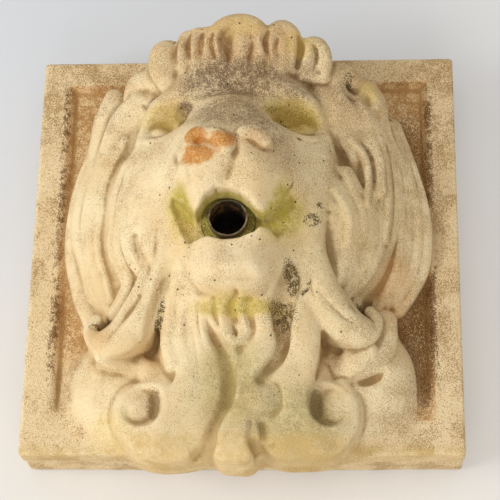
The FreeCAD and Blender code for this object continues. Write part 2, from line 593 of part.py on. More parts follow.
walls = []
root_edges = []
for edge in modelled.Edges:
    start, end = (vertex.Point for vertex in edge.Vertexes)
    root_edges.append(Part.makeLine(rooted(start), rooted(end)))
    walls.append(Part.Face(Part.Wire(Part.__sortEdges__([
        edge, Part.makeLine(end, rooted(end)), root_edges[-1],
        Part.makeLine(rooted(start), start)]))))
root = Part.Face(Part.Wire(Part.__sortEdges__(root_edges)))
shell = Part.makeShell([modelled, root, *walls])
shell.sewShape()
lion_head = doc.addObject("Part::Feature", "lion_head")
lion_head.Shape = Part.makeSolid(shell)

# Below the slab's lower edge the head goes on only where the two volutes and the drop of beard
# between them hang over it, each with a rim square to the wall.
hanging = [rod(f"{name}_rim", *(f"${name}_{n}_{field} * $slab_side / $drawn_side"
                                for field in ("half_wide", "x")), "0",
               f"${name}_{n}_z * $slab_side / $drawn_side", "2 * $slab_thick + $spout_reach")
           for name, n in (("volute_left", 0), ("volute_right", 0), ("drop_left", 2),
                           ("drop_right", 2))]
under_edge = block("under_edge", "0", "0", "-$slab_side / 2 - $mask_overhang",
                   "2 * $mask_half_wide + 2", "(2 * $slab_thick + $spout_reach)",
                   "2 * $mask_overhang")
trim = cut("under_edge_trim", under_edge, *hanging)
blank = fuse("stone_blank", slab, cut("trimmed_head", lion_head, trim))
SPOUT = ("$spout_x", "$spout_z")
spout_end = "($slab_thick + $spout_reach)"


def spout_rod(name, radius, out, length):
    """A round rod on the spout's axis."""
    return rod(name, radius, SPOUT[0], out, SPOUT[1], length)


def spout_taper(name, near, far, out, length):
    """A round taper on the spout's axis."""
    return taper(name, near, far, SPOUT[0], out, SPOUT[1], length)


def spout_hexagon(name, radius, out, length):
    """A six-sided bar on the spout's axis."""
    return hexagon(name, radius, SPOUT[0], out, SPOUT[1], length)


# Pipe joint, worked out from the hose tail's tip, near the wall, towards the head.
barbs_from = "($tail_setback + $tail_land)"
tail_hex_from = f"({barbs_from} + $barb_count * $barb_long + $tail_neck)"
washer_from = f"({tail_hex_from} + $tail_hex_long)"
body_from = f"({washer_from} + $washer_thick)"
thread_from = f"({body_from} + $body_hex_long)"
body_end = f"({thread_from} + $body_thread_long)"
shank_end = f"({washer_from} + $tail_shank_long + $fit_gap)"
socket_from = f"({shank_end} + $body_web)"
pipe_from = f"({socket_from} + $fit_gap)"
nut_from = f"({body_end} - $nut_overlap)"
lip_from = f"({nut_from} + $nut_long - $nut_lip)"

# Spout: a plain copper tube from the coupling to the mouth.
pipe = cut("spout_pipe",
           spout_rod("pipe_outside", "$tube_radius", pipe_from, f"{spout_end} - {pipe_from}"),
           spout_rod("pipe_bore", "$tube_radius - $tube_wall", f"{pipe_from} - 1",
                     f"{spout_end} - {pipe_from} + 2"))


def mortar(name, out, length):
    """A ring of bedding mortar between the tube and the hole through the stone."""
    outside = spout_rod(name + "_outside", "$bore_radius - $fit_gap", out, length)
    inside = spout_rod(name + "_inside", "$tube_radius + $fit_gap", f"{out} - 1", f"{length} + 2")
    return cut(name, outside, inside)


mouth_mortar = mortar("mouth_mortar", f"{spout_end} - $mouth_mortar_back - $mouth_mortar_long",
                      "$mouth_mortar_long")
rear_mortar = mortar("rear_mortar", "$pocket_deep", "$rear_mortar_long")

# Hose tail: a land to start the hose on, barbs, a hexagon and a threaded shank.
barbs = [spout_taper(f"barb_{n}", "$tail_radius", "$tail_radius + $barb_rise",
                     f"{barbs_from} + {n} * $barb_long", "$barb_long")
         for n in range(int(size("barb_count")))]
tail_parts = (
    spout_rod("tail_stem", "$tail_radius", "$tail_setback", f"{tail_hex_from} - $tail_setback"),
    spout_hexagon("tail_hexagon", "$tail_hex_radius", tail_hex_from, "$tail_hex_long"),
    spout_rod("tail_shank", "$tail_shank_radius", washer_from, "$tail_shank_long"),
)
tail_waterway = spout_rod("tail_waterway", "$tail_bore", "$tail_setback - 1",
                          f"{shank_end} - $tail_setback + 2")
hose_tail = cut("hose_tail", fuse("tail_outside", *tail_parts, *barbs), tail_waterway)

# Washer between the hose tail's hexagon and the coupling.
washer_round = spout_rod("washer_round", "$washer_radius", washer_from, "$washer_thick")
washer_hole = spout_rod("washer_hole", "$tail_shank_radius + $fit_gap", f"{washer_from} - 1",
                        "$washer_thick + 2")
washer = cut("tail_washer", washer_round, washer_hole)

# Coupling body: takes the hose tail's shank at one end and the tube at the other.
body_outside = fuse(
    "body_outside",
    spout_hexagon("body_hexagon", "$body_hex_radius", body_from, "$body_hex_long"),
    spout_rod("body_thread", "$body_thread_radius", thread_from, "$body_thread_long"))
body_bores = (
    spout_rod("body_shank_bore", "$tail_shank_radius + $fit_gap", f"{body_from} - 1",
              f"{shank_end} - {body_from} + 1"),
    spout_rod("body_web_hole", "$body_web_bore", body_from, f"{body_end} - {body_from}"),
    spout_rod("body_socket", "$tube_radius + $fit_gap", socket_from,
              f"{body_end} - {socket_from} + 1"),
)
coupling_body = cut("coupling_body", body_outside, *body_bores)

# Olive: the soft ring that the nut squeezes on to the tube.
olive_long = f"({lip_from} - {body_end} - 2 * $fit_gap)"
olive_from = f"({body_end} + $fit_gap)"
olive_round = fuse(
    "olive_round",
    spout_taper("olive_back", "$tube_radius + $olive_edge", "$tube_radius + $olive_rise",
                olive_from, f"{olive_long} / 2"),
    spout_taper("olive_front", "$tube_radius + $olive_rise", "$tube_radius + $olive_edge",
                f"{olive_from} + {olive_long} / 2", f"{olive_long} / 2"))
olive_hole = spout_rod("olive_hole", "$tube_radius + $fit_gap", f"{olive_from} - 1",
                       f"{olive_long} + 2")
olive = cut("coupling_olive", olive_round, olive_hole)

# Coupling nut: runs on the body's thread and closes over the olive with its lip.
nut_blank = spout_hexagon("nut_hexagon", "$nut_hex_radius", nut_from, "$nut_long")
nut_bores = (
    spout_rod("nut_thread", "$body_thread_radius + $fit_gap", f"{nut_from} - 1",
              f"{lip_from} - {nut_from} + 1"),
    spout_rod("nut_hole", "$tube_radius + $fit_gap", nut_from, "$nut_long + 1"),
)
coupling_nut = cut("coupling_nut", nut_blank, *nut_bores)

# Hangers: a keyhole plate near each upper corner of the back, let in flush and held by two
# countersunk screws in plugs. The wall screw's head slides behind the plate, in its head room.
plates = []
screws = []
plugs = []
stone_cuts = [
    spout_rod("service_pocket", "$pocket_radius", "-1", "$pocket_deep + 1"),
    spout_rod("spout_hole", "$bore_radius", "$pocket_deep - 1", f"3 * {spout_end}"),
]
for side, sign in (("left", "-"), ("right", "")):
    x = f"{sign}($slab_side / 2 - $hanger_from_side)"
    middle = "($slab_side / 2 - $hanger_from_top)"
    low_end = f"({middle} - $key_drop)"
    plate = block(side + "_plate_blank", x, "0", middle, "$plate_wide", "$plate_thick",
                  "$plate_high")
    openings = [
        rod(side + "_key_hole", "$key_hole_radius", x, "-1", low_end, "$plate_thick + 2"),
        rod(side + "_key_end", "$key_slot_radius", x, "-1", f"{middle} + $key_rise",
            "$plate_thick + 2"),
        block(side + "_key_slot", x, "-1", f"{middle} + ($key_rise - $key_drop) / 2",
              "2 * $key_slot_radius", "($plate_thick + 2)", "$key_rise + $key_drop"),
    ]
    stone_cuts += [
        block(side + "_plate_seat", x, "-1", middle, "$plate_wide + 2 * $plate_gap",
              "($plate_thick + 1)", "$plate_high + 2 * $plate_gap"),
        block(side + "_head_room", x, "0", middle, "$head_room_wide",
              "($plate_thick + $head_room_deep)", "$head_room_high"),
    ]
    for end, way in (("upper", "+"), ("lower", "-")):
        name = f"{side}_{end}"
        z = f"({middle} {way} $fixing_pitch / 2)"
        openings += [
            taper(name + "_sink", "$head_radius + 2 * $fit_gap", "$screw_radius + $fit_gap", x,
                  "0", z, "$head_deep + 2 * $fit_gap"),
            rod(name + "_clearance", "$screw_radius + $fit_gap", x, "-1", z, "$plate_thick + 2"),
        ]
        shape = fuse(
            name + "_screw_outside",
            taper(name + "_head", "$head_radius", "$screw_radius", x, "$fit_gap", z,
                  "$head_deep"),
            rod(name + "_shank", "$screw_radius", x, "$fit_gap + $head_deep", z,
                "$screw_long - $head_deep"))
        screws.append(cut(
            name + "_screw", shape,
            block(name + "_drive_up", x, "$fit_gap - 1", z, "$drive_wide", "($drive_deep + 1)",
                  "$drive_long"),
            block(name + "_drive_across", x, "$fit_gap - 1", z, "$drive_long",
                  "($drive_deep + 1)", "$drive_wide")))
        plugs.append(cut(
            name + "_plug",
            rod(name + "_plug_outside", "$plug_radius", x, "$plate_thick", z, "$plug_long"),
            rod(name + "_plug_bore", "$screw_radius + $fit_gap", x, "$plate_thick - 1", z,
                "$screw_long - $plate_thick + 2")))
        stone_cuts.append(rod(name + "_plug_hole", "$plug_radius + $fit_gap", x, "-1", z,
                              "$plate_thick + $plug_long + 1 + $fit_gap"))
    plates.append(cut(side + "_hanger_plate", plate, *openings))

stone = cut("stone_casting", blank, *stone_cuts)
hanger_screws = group("hanger_screws", *screws)
screw_plugs = group("screw_plugs", *plugs)

NODES = (stone, pipe, mouth_mortar, rear_mortar, hose_tail, washer, coupling_body, olive,
         coupling_nut, *plates, hanger_screws, screw_plugs)
doc.recompute()
for thing in doc.Objects:
    if "Invalid" in thing.State or "Error" in thing.State:
        raise RuntimeError(f"{thing.Name} did not build")
for node in NODES:
    if node.Shape.isNull() or not node.Shape.isValid():
        raise RuntimeError(f"{node.Name} is not a sound solid")
for node in NODES:
    node.Label = node.Name
    node.Shape.exportStep(f"parts/{node.Label}.step")
    print(node.Label, len(node.Shape.Solids), round(node.Shape.Volume))
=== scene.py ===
import math

import bpy
import numpy as np
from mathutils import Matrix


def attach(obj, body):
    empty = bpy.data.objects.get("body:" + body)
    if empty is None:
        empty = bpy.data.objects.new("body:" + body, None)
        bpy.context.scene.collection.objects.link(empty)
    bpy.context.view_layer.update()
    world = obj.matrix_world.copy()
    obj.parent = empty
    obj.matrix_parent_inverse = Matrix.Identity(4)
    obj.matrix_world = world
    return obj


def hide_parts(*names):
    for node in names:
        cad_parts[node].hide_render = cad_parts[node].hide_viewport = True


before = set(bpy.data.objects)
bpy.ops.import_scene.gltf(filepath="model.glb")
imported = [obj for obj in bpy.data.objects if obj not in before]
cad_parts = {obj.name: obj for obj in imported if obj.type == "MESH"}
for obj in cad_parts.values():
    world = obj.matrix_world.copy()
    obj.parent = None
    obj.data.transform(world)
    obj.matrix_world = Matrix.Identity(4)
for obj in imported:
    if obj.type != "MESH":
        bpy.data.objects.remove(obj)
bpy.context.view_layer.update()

import openvdb
from mathutils import Quaternion, Vector

# Stone casting: a square slab with a lion's head on it, one piece of reconstituted stone, cast
# in a mould and worn by the weather. Its sizes are in millimetres, listed as x, z and the
# distance out from the wall.

# It is worked as a volume of distances to the surface, in cells between two corners in x, y, z:
# masses, locks of hair and curls run softly into one another, and hollows are carved out of
# them. An ease is how many millimetres wide that soft join is.
CELL = 1.05
LOW = (-164.0, -169.0, -182.0)
HIGH = (164.0, 4.0, 166.0)
axes = [np.arange(low, high, CELL, dtype=np.float32) for low, high in zip(LOW, HIGH)]
stone = np.full([len(axis) for axis in axes], 30, np.float32)

# The slab, and the panel sunk into its front; at its foot the panel rises to the border. The
# steepness allows for the front's slopes, where a distance straight out is longer than the
# shortest one.
SLAB_HALF, SLAB_THICK, SLAB_WEAR = 160.0, 52.0, 3.0
PANEL_HALF, PANEL_DEPTH, PANEL_FOOT, PANEL_EASE = 140.0, 6.0, 34.0, 2.0
PANEL_STEEPNESS = 0.85

# Rounded masses: x, z, out, half width, height and depth, lean, squareness.
MASS_EASE = 8
MASSES = {
    "left_mane": (-74, 30, 50, 48, 88, 40, 0, 2),
    "right_mane": (76, 26, 50, 46, 84, 40, 0, 2),
    "left_shoulder": (-86, -114, 40, 44, 42, 28, 0, 2.2),
    "right_shoulder": (84, -110, 42, 44, 50, 30, 0, 2.2),
    "beard": (-3, -90, 58, 58, 60, 32, 0, 2.2),
    "beard_foot": (-2, -132, 50, 60, 34, 26, 0, 2.4),
    "throat": (-4, -62, 70, 46, 30, 28, 0, 2),
    "crown_base": (-6, 112, 76, 66, 34, 36, 0, 2),
    "jaw": (-6, -10, 74, 58, 48, 40, 0, 2.2),
}

# The lion's face, without its hair: at each height z, how far out its skin is at some x. It
# ends at an oval, listed as the masses are, and touches only the cells between its corners.
FACE_EASE, OVAL_EASE = 6, 14
FACE_CORNERS = ((-104, LOW[1], -84), (92, HIGH[1], 136))
FACE_OVAL = (-7, 33, 0, 84, 106, 300, 0, 2.3)
FACE = {
    130: [(-50, 94), (-30, 104), (-7, 109), (18, 104), (40, 94)],
    118: [(-60, 96), (-34, 112), (-7, 116), (20, 112), (46, 96)],
    108: [(-66, 94), (-54, 106), (-34, 115), (-7, 114), (20, 115), (42, 108), (54, 95)],
    99: [
        (-78, 89), (-68, 103), (-50, 113), (-32, 117), (-7, 116), (18, 117), (38, 114), (55, 105),
        (65, 90)],
    91: [(-30, 116), (-18, 121), (-7, 124), (4, 121), (15, 116)],
    84: [
        (-84, 84), (-74, 97), (-60, 98), (-48, 101), (-36, 114), (-22, 123), (-7, 128), (8, 123),
        (19, 114), (31, 101), (44, 98), (61, 97), (71, 85)],
    72: [
        (-87, 82), (-77, 97), (-63, 98), (-52, 104), (-40, 120), (-24, 130), (-7, 135), (12, 130),
        (26, 120), (36, 104), (48, 98), (64, 97), (74, 84)],
    62: [
        (-89, 80), (-79, 98), (-67, 104), (-55, 112), (-42, 127), (-26, 136), (-7, 141), (14, 136),
        (30, 127), (41, 112), (51, 105), (67, 99), (77, 83)],
    52: [
        (-92, 78), (-82, 97), (-64, 109), (-48, 125), (-30, 141), (-7, 147), (16, 141), (34, 125),
        (50, 110), (70, 99), (80, 82)],
    38: [
        (-93, 76), (-84, 97), (-66, 111), (-50, 127), (-32, 144), (-7, 152), (18, 144), (36, 128),
        (52, 112), (70, 99), (80, 82)],
    24: [
        (-93, 76), (-84, 97), (-66, 111), (-52, 123), (-36, 141), (-22, 149), (-7, 148), (8, 149),
        (24, 142), (40, 125), (54, 111), (69, 98), (79, 82)],
    8: [
        (-92, 77), (-82, 97), (-66, 109), (-52, 117), (-40, 131), (-26, 144), (-7, 144), (14, 144),
        (28, 133), (41, 118), (54, 109), (66, 98), (77, 80)],
    -8: [
        (-89, 77), (-78, 97), (-63, 107), (-48, 114), (-28, 138), (-7, 138), (17, 138), (37, 115),
        (50, 107), (62, 97), (73, 80)],
    -24: [
        (-82, 76), (-71, 95), (-57, 103), (-42, 113), (-26, 128), (-4, 131), (18, 129), (31, 115),
        (46, 103), (59, 94), (70, 78)],
    -40: [
        (-74, 74), (-62, 92), (-48, 100), (-37, 112), (-24, 127), (-3, 132), (18, 127), (31, 112),
        (43, 99), (54, 90), (65, 74)],
    -53: [
        (-60, 76), (-46, 91), (-36, 101), (-23, 123), (-3, 129), (17, 123), (30, 101), (42, 90),
        (52, 78)],
    -62: [(-46, 80), (-30, 92), (-18, 104), (-3, 107), (12, 104), (24, 92), (40, 82)],
    -72: [(-36, 78), (-20, 86), (-3, 88), (14, 86), (30, 78)],
}

# The open mouth: its outline round the lips, its corners and the chin, as x and z.
LIP_EASE, FLOOR_EASE = 4, 5
MOUTH_FLOOR = 114.0
MOUTH_CORNERS = ((-64, LOW[1], -32), (52, -MOUTH_FLOOR, 34))
MOUTH = [(-47, 10), (-38, 3), (-30, -8), (-26, -4), (-22, 3), (-15, 7.5), (-6, 8), (2, 5), (8, 0),
         (13, -6), (19, -9), (23, -6), (31, 4), (38, 10), (41, 5), (37, -11), (28, -20), (22, -16),
         (16, -17), (12, -21), (2, -25), (-11, -26), (-21, -23), (-29, -24), (-36, -25), (-41, -14),
         (-49, 6)]

# Crest lines of the mane: how thick the crest is, then points of x, z and out, and half the
# width of the lock under it, whose top is sunk a little below the crest. A thicker crest has a
# crisper lock.
RIBBON_FLATNESS, RIBBON_EASE, RIBBON_SUNK, CREST_PROUD = 0.5, 9, 1.5, 0.2
RIBBONS = {
    "mane_left_1": (0, [
        (-107, 99, 74, 9), (-110, 74, 70, 10), (-117, 48, 67, 12), (-121, 24, 65, 12),
        (-122, -6, 63, 12), (-116, -37, 62, 11), (-109, -59, 62, 9)]),
    "mane_left_2": (0.6, [
        (-99, 84, 82, 9), (-107, 59, 79, 10), (-113, 40, 76, 11), (-117, 18, 74, 11),
        (-115, -1, 72, 11), (-110, -19, 71, 10), (-105, -40, 69, 9)]),
    "mane_left_3": (0.8, [
        (-89, 72, 90, 9), (-98, 53, 86, 10), (-104, 36, 84, 10), (-105, 17, 82, 10),
        (-107, -1, 80, 10), (-105, -18, 78, 9), (-99, -36, 75, 8), (-96, -49, 72, 7)]),
    "mane_left_4": (1.3, [
        (-81, 46, 98, 9), (-87, 24, 96, 9), (-89, 2, 94, 8), (-90, -11, 92, 8), (-88, -21, 90, 8),
        (-83, -32, 88, 7), (-81, -41, 86, 6), (-85, -51, 82, 6), (-93, -61, 77, 5)]),
    "mane_left_5": (1.4, [
        (-77, 21, 102, 8), (-80, 0, 100, 7), (-80, -15, 98, 6), (-76, -26, 96, 6),
        (-73, -33, 94, 4)]),
    "mane_right_1": (2.0, [
        (111, 91, 72, 8), (121, 58, 70, 9), (128, 28, 68, 10), (129, 6, 66, 11), (127, -17, 65, 11),
        (120, -35, 64, 10), (112, -49, 63, 9)]),
    "mane_right_2": (2.2, [
        (102, 86, 82, 7), (111, 62, 78, 8), (114, 46, 76, 9), (116, 24, 74, 9), (117, 0, 72, 9),
        (113, -24, 71, 9), (106, -42, 69, 8), (100, -54, 68, 6)]),
    "mane_right_3": (2.4, [
        (96, 83, 88, 7), (103, 65, 86, 8), (106, 48, 84, 8), (107, 30, 82, 9), (106, 11, 80, 9),
        (102, -6, 78, 9), (94, -28, 76, 8), (83, -44, 75, 7), (82, -53, 74, 5)]),
    "mane_right_4": (2.4, [
        (81, 68, 96, 8), (90, 53, 94, 8), (94, 34, 92, 9), (95, 18, 90, 9), (95, 1, 88, 9),
        (94, -16, 86, 9), (87, -33, 84, 8), (75, -47, 82, 6)]),
    "mane_right_5": (2.2, [
        (76, 39, 100, 7), (82, 25, 98, 8), (87, 14, 96, 8), (89, -1, 94, 7), (85, -19, 91, 7),
        (76, -36, 88, 6)]),
    "mane_right_6": (2.2, [
        (69, 24, 104, 9), (76, 11, 102, 8), (79, 0, 100, 8), (78, -17, 97, 8), (73, -30, 94, 7),
        (68, -40, 91, 5)]),
    "ear_edge_right": (1.5, [(87, 102, 92, 6), (92, 88, 90, 6), (96, 74, 88, 6)]),
}

# Locks of hair and other rounded ridges: flatness, then points of x, z, out and half width.
LOCK_EASE = 4
LOCKS = {
    "cheek_tongue": (0.7, [
        (-66, 14, 97, 12), (-67, -8, 97, 9), (-68, -21, 96, 7), (-69, -30, 94, 3)]),
    "jaw_fall_left": (0.6, [
        (-53, 4, 102, 13), (-55, -19, 100, 13), (-60, -42, 96, 13), (-67, -60, 92, 14),
        (-78, -77, 88, 14), (-90, -86, 85, 12), (-101, -86, 82, 8), (-108, -76, 80, 5),
        (-104, -67, 79, 4)]),
    "jaw_edge_left": (0.7, [(-43, -15, 102, 9), (-45, -34, 100, 8), (-48, -52, 97, 5)]),
    "beard_left_1": (0.8, [
        (-46, -34, 94, 6), (-49, -54, 92, 6), (-51, -74, 89, 6), (-50, -90, 86, 6),
        (-47, -102, 84, 6)]),
    "beard_left_2": (0.8, [
        (-41, -51, 95, 4), (-42, -69, 92, 4), (-41, -87, 88, 5), (-36, -105, 84, 6)]),
    "band_left": (0.42, [
        (-29, -59, 96, 9), (-27, -77, 92, 11), (-23, -95, 88, 14), (-23, -110, 85, 18),
        (-28, -129, 80, 23), (-38, -146, 74, 24)]),
    "volute_left": (0.5, [(-53, -142, 70, 30), (-60, -139, 70, 29)]),
    "volute_right": (0.5, [(49, -140, 70, 30), (55, -138, 70, 29)]),
    "beard_crest": (0.8, [
        (-21, -58, 97, 4), (-18, -74, 94, 4), (-10, -92, 91, 4.5), (-4, -107, 89, 5),
        (-1, -124, 87, 6), (-1, -136, 84, 6)]),
    "beard_mid_1": (0.8, [
        (-13, -60, 98, 4), (-12, -74, 95, 4), (-6, -87, 94, 4), (0, -90, 93, 4), (4, -84, 94, 3.5),
        (2, -77, 94, 3)]),
    "beard_mid_2": (0.8, [(0, -59, 99, 4.5), (2, -69, 96, 4), (6, -79, 95, 3.5), (4, -89, 93, 3)]),
    "beard_tear": (0.55, [
        (13, -62, 97, 7), (17, -76, 93, 11), (17, -91, 90, 13), (13, -104, 88, 11),
        (6, -116, 87, 8), (4, -126, 86, 6)]),
    "beard_pearl": (0.6, [(14, -128, 84, 12), (16, -132, 84, 13)]),
    "band_right": (0.42, [
        (38, -60, 96, 9), (44, -77, 92, 13), (41, -95, 88, 16), (36, -113, 84, 18),
        (34, -131, 79, 22), (35, -148, 74, 22)]),
    "jaw_fall_right": (0.6, [
        (46, 3, 102, 13), (48, -16, 100, 13), (52, -34, 97, 13), (59, -53, 93, 14),
        (70, -68, 89, 15), (82, -78, 85, 13), (92, -78, 82, 8), (97, -69, 80, 5),
        (93, -62, 79, 4)]),
    "jaw_edge_right": (0.7, [(37, -20, 102, 8), (39, -33, 100, 7), (41, -45, 98, 4)]),
    "crown_far_left": (0.8, [
        (-86, 112, 82, 6), (-80, 119, 85, 10), (-72, 120, 89, 11), (-66, 116, 92, 8)]),
    "crown_left": (0.85, [(-57, 115, 102, 8), (-59, 126, 103, 12), (-57, 134, 103, 14)]),
    "crown_rib_1": (0.9, [(-44, 121, 105, 6), (-45, 132, 115, 6.5), (-41, 143, 114, 7)]),
    "crown_rib_2": (0.9, [(-34, 122, 110, 5), (-35, 134, 120, 5.5), (-33, 144, 118, 6.5)]),
    "crown_rib_3": (0.9, [(-25, 122, 112, 4.5), (-26, 134, 122, 5), (-25, 144, 120, 6)]),
    "crown_top_back": (0.9, [(-10, 140, 108, 14), (2, 142, 108, 14)]),
    "crown_top": (0.9, [
        (-16, 122, 113, 5), (-19, 133, 122, 6.5), (-16, 144, 124, 7.5), (-7, 150, 123, 8),
        (4, 150, 123, 8), (12, 145, 122, 7.5), (15, 134, 120, 6.5), (12, 124, 113, 5.5)]),
    "crown_top_pearl": (0.9, [(-2, 124, 112, 6), (1, 136, 119, 7), (1, 143, 119, 8)]),
    "crown_right_1": (0.9, [
        (22, 123, 110, 4.5), (22, 134, 119, 5.5), (24, 144, 119, 7), (30, 149, 117, 7.5),
        (37, 144, 115, 7), (39, 133, 113, 6), (38, 123, 107, 5.5)]),
    "crown_right_1_core": (0.9, [(30, 122, 109, 4.5), (30, 135, 117, 5), (31, 142, 116, 5.5)]),
    "crown_right_2": (0.9, [
        (46, 119, 102, 5), (47, 130, 111, 6), (50, 138, 110, 7), (56, 139, 107, 7.5),
        (60, 131, 104, 7), (59, 119, 99, 6)]),
    "crown_right_2_core": (0.9, [(52, 118, 101, 4), (53, 130, 108, 5)]),
    "crown_far_right": (0.9, [
        (66, 105, 90, 9), (67, 118, 89, 10), (74, 126, 86, 10), (82, 122, 85, 8)]),
    "temple_hair_right": (0.35, [
        (64, 108, 94, 10), (74, 98, 90, 14), (82, 82, 88, 14), (88, 66, 86, 11)]),
    "temple_hair_left": (0.35, [
        (-76, 102, 91, 11), (-86, 90, 86, 14), (-93, 72, 83, 14), (-98, 54, 81, 11)]),
    "ear_left": (0.6, [
        (-100, 115, 77, 7), (-102, 104, 77, 9), (-106, 88, 74, 9), (-111, 68, 70, 8)]),
    "ear_right": (0.7, [(92, 114, 79, 11), (96, 104, 78, 12), (100, 90, 76, 9), (104, 76, 73, 5)]),
    "shoulder_rim_right": (0.7, [
        (104, -66, 68, 9), (102, -82, 68, 10), (92, -93, 70, 10), (80, -97, 73, 8)]),
    "scroll_left": (0.6, [
        (-99, -97, 83, 4), (-91, -98, 75, 6), (-80, -98, 67, 7), (-68, -102, 66, 8),
        (-56, -116, 74, 8), (-49, -132, 80, 8), (-49, -147, 80, 8), (-57, -160, 78, 7),
        (-68, -162, 76, 5), (-77, -153, 77, 3.5), (-83, -140, 77, 3), (-82, -125, 74, 2)]),
    "scroll_right": (0.6, [
        (93, -92, 77, 4), (83, -100, 75, 6), (71, -101, 69, 7), (61, -103, 67, 8),
        (52, -115, 74, 8), (46, -130, 77, 8), (48, -148, 79, 8), (56, -159, 77, 7),
        (67, -162, 74, 5), (77, -154, 76, 3.5), (82, -141, 76, 3), (80, -126, 75, 2.5),
        (73, -114, 72, 2)]),
    "mane_fill_right": (0.4, [(64, 8, 99, 8), (66, -6, 94, 9), (68, -23, 92, 8), (70, -39, 92, 6)]),
    "mane_fill_upper": (0.4, [(94, 68, 90, 6), (98, 50, 90, 7), (100, 29, 90, 6)]),
    "drop_left": (0.6, [(-5, -142, 86, 8), (-8, -156, 83, 10), (-8, -163, 78, 10)]),
    "drop_right": (0.6, [(3, -142, 86, 9), (4, -156, 82, 12), (3, -163, 78, 11)]),
}

# Small ridges of the face that stay crisp: laid on after the hollows are carved.
FINE_EASE = 3
FINE_LOCKS = {
    "lid_left": (0.9, [(-76, 67, 97, 2), (-68, 63, 102, 3), (-58, 63, 106, 3), (-50, 66, 107, 2)]),
    "lid_right": (0.9, [(37, 66, 107, 2), (45, 63, 106, 3), (55, 64, 102, 3), (63, 68, 97, 2)]),
    "crest_right_1": (0.8, [
        (80, 66, 95, 1.6), (88, 58, 96, 2), (92, 47, 95, 2.2), (93, 32, 94, 2), (92, 15, 94, 1.4)]),
    "crest_right_2": (0.8, [
        (102, 72, 87, 1.6), (105, 57, 86, 2), (107, 36, 85, 2.2), (107, 13, 83, 2),
        (105, -7, 82, 1.4)]),
    "wing_left": (0.8, [
        (-21, 47, 150, 3.6), (-28, 48, 148, 4.6), (-33, 44, 146.5, 4.8), (-33, 38, 146, 4.4),
        (-28, 33, 147, 4), (-22, 32, 148, 3.4)]),
    "nose_middle": (0.8, [(-16, 46, 150, 5), (-10, 41, 151.5, 5.5), (-7, 36, 150.5, 4.4)]),
    "wing_right": (0.8, [(5, 48, 148.8, 4.6), (13, 47, 148.4, 5.8), (20, 42, 146.6, 5)]),
}

# Eye sockets, and their inner corners by the nose, listed as the masses are.
SOCKET_EASE = 4
SOCKETS = {
    "left_socket": (-60, 80, 114, 17, 11, 22, -10, 2.2),
    "right_socket": (45, 80, 114, 17, 11, 22, 12, 2.2),
    "left_corner": (-46, 79, 118, 6, 8, 20, -30, 2),
    "right_corner": (30, 78, 118, 6, 9, 22, 30, 2),
}

# Smaller hollows, listed as the masses are.
HOLLOW_EASE = 2.5
HOLLOWS = {
    "right_ear_hollow": (94, 106, 92, 6, 10, 7, -12, 2),
    "left_nostril": (-22, 40, 158, 3.5, 3.5, 8, 0, 2),
    "right_nostril": (1, 40, 160, 3.5, 5, 9, 0, 2),
    "left_volute_dish": (-69, -131, 88, 16, 18, 16, 0, 2.2),
    "right_volute_dish": (65, -131, 88, 16, 18, 16, 0, 2.2),
}

# Eyeballs, and the round bosses inside the two volutes, listed as the masses are.
EYE_EASE = 4
EYES = {
    "left_eye": (-62, 73, 89, 7, 6.5, 11, 0, 2),
    "right_eye": (45, 74, 89, 10, 8.5, 12, 0, 2),
    "left_boss": (-75, -132, 60, 17, 20, 18, 0, 2),
    "right_boss": (72, -132, 60, 17, 20, 18, 0, 2),
}

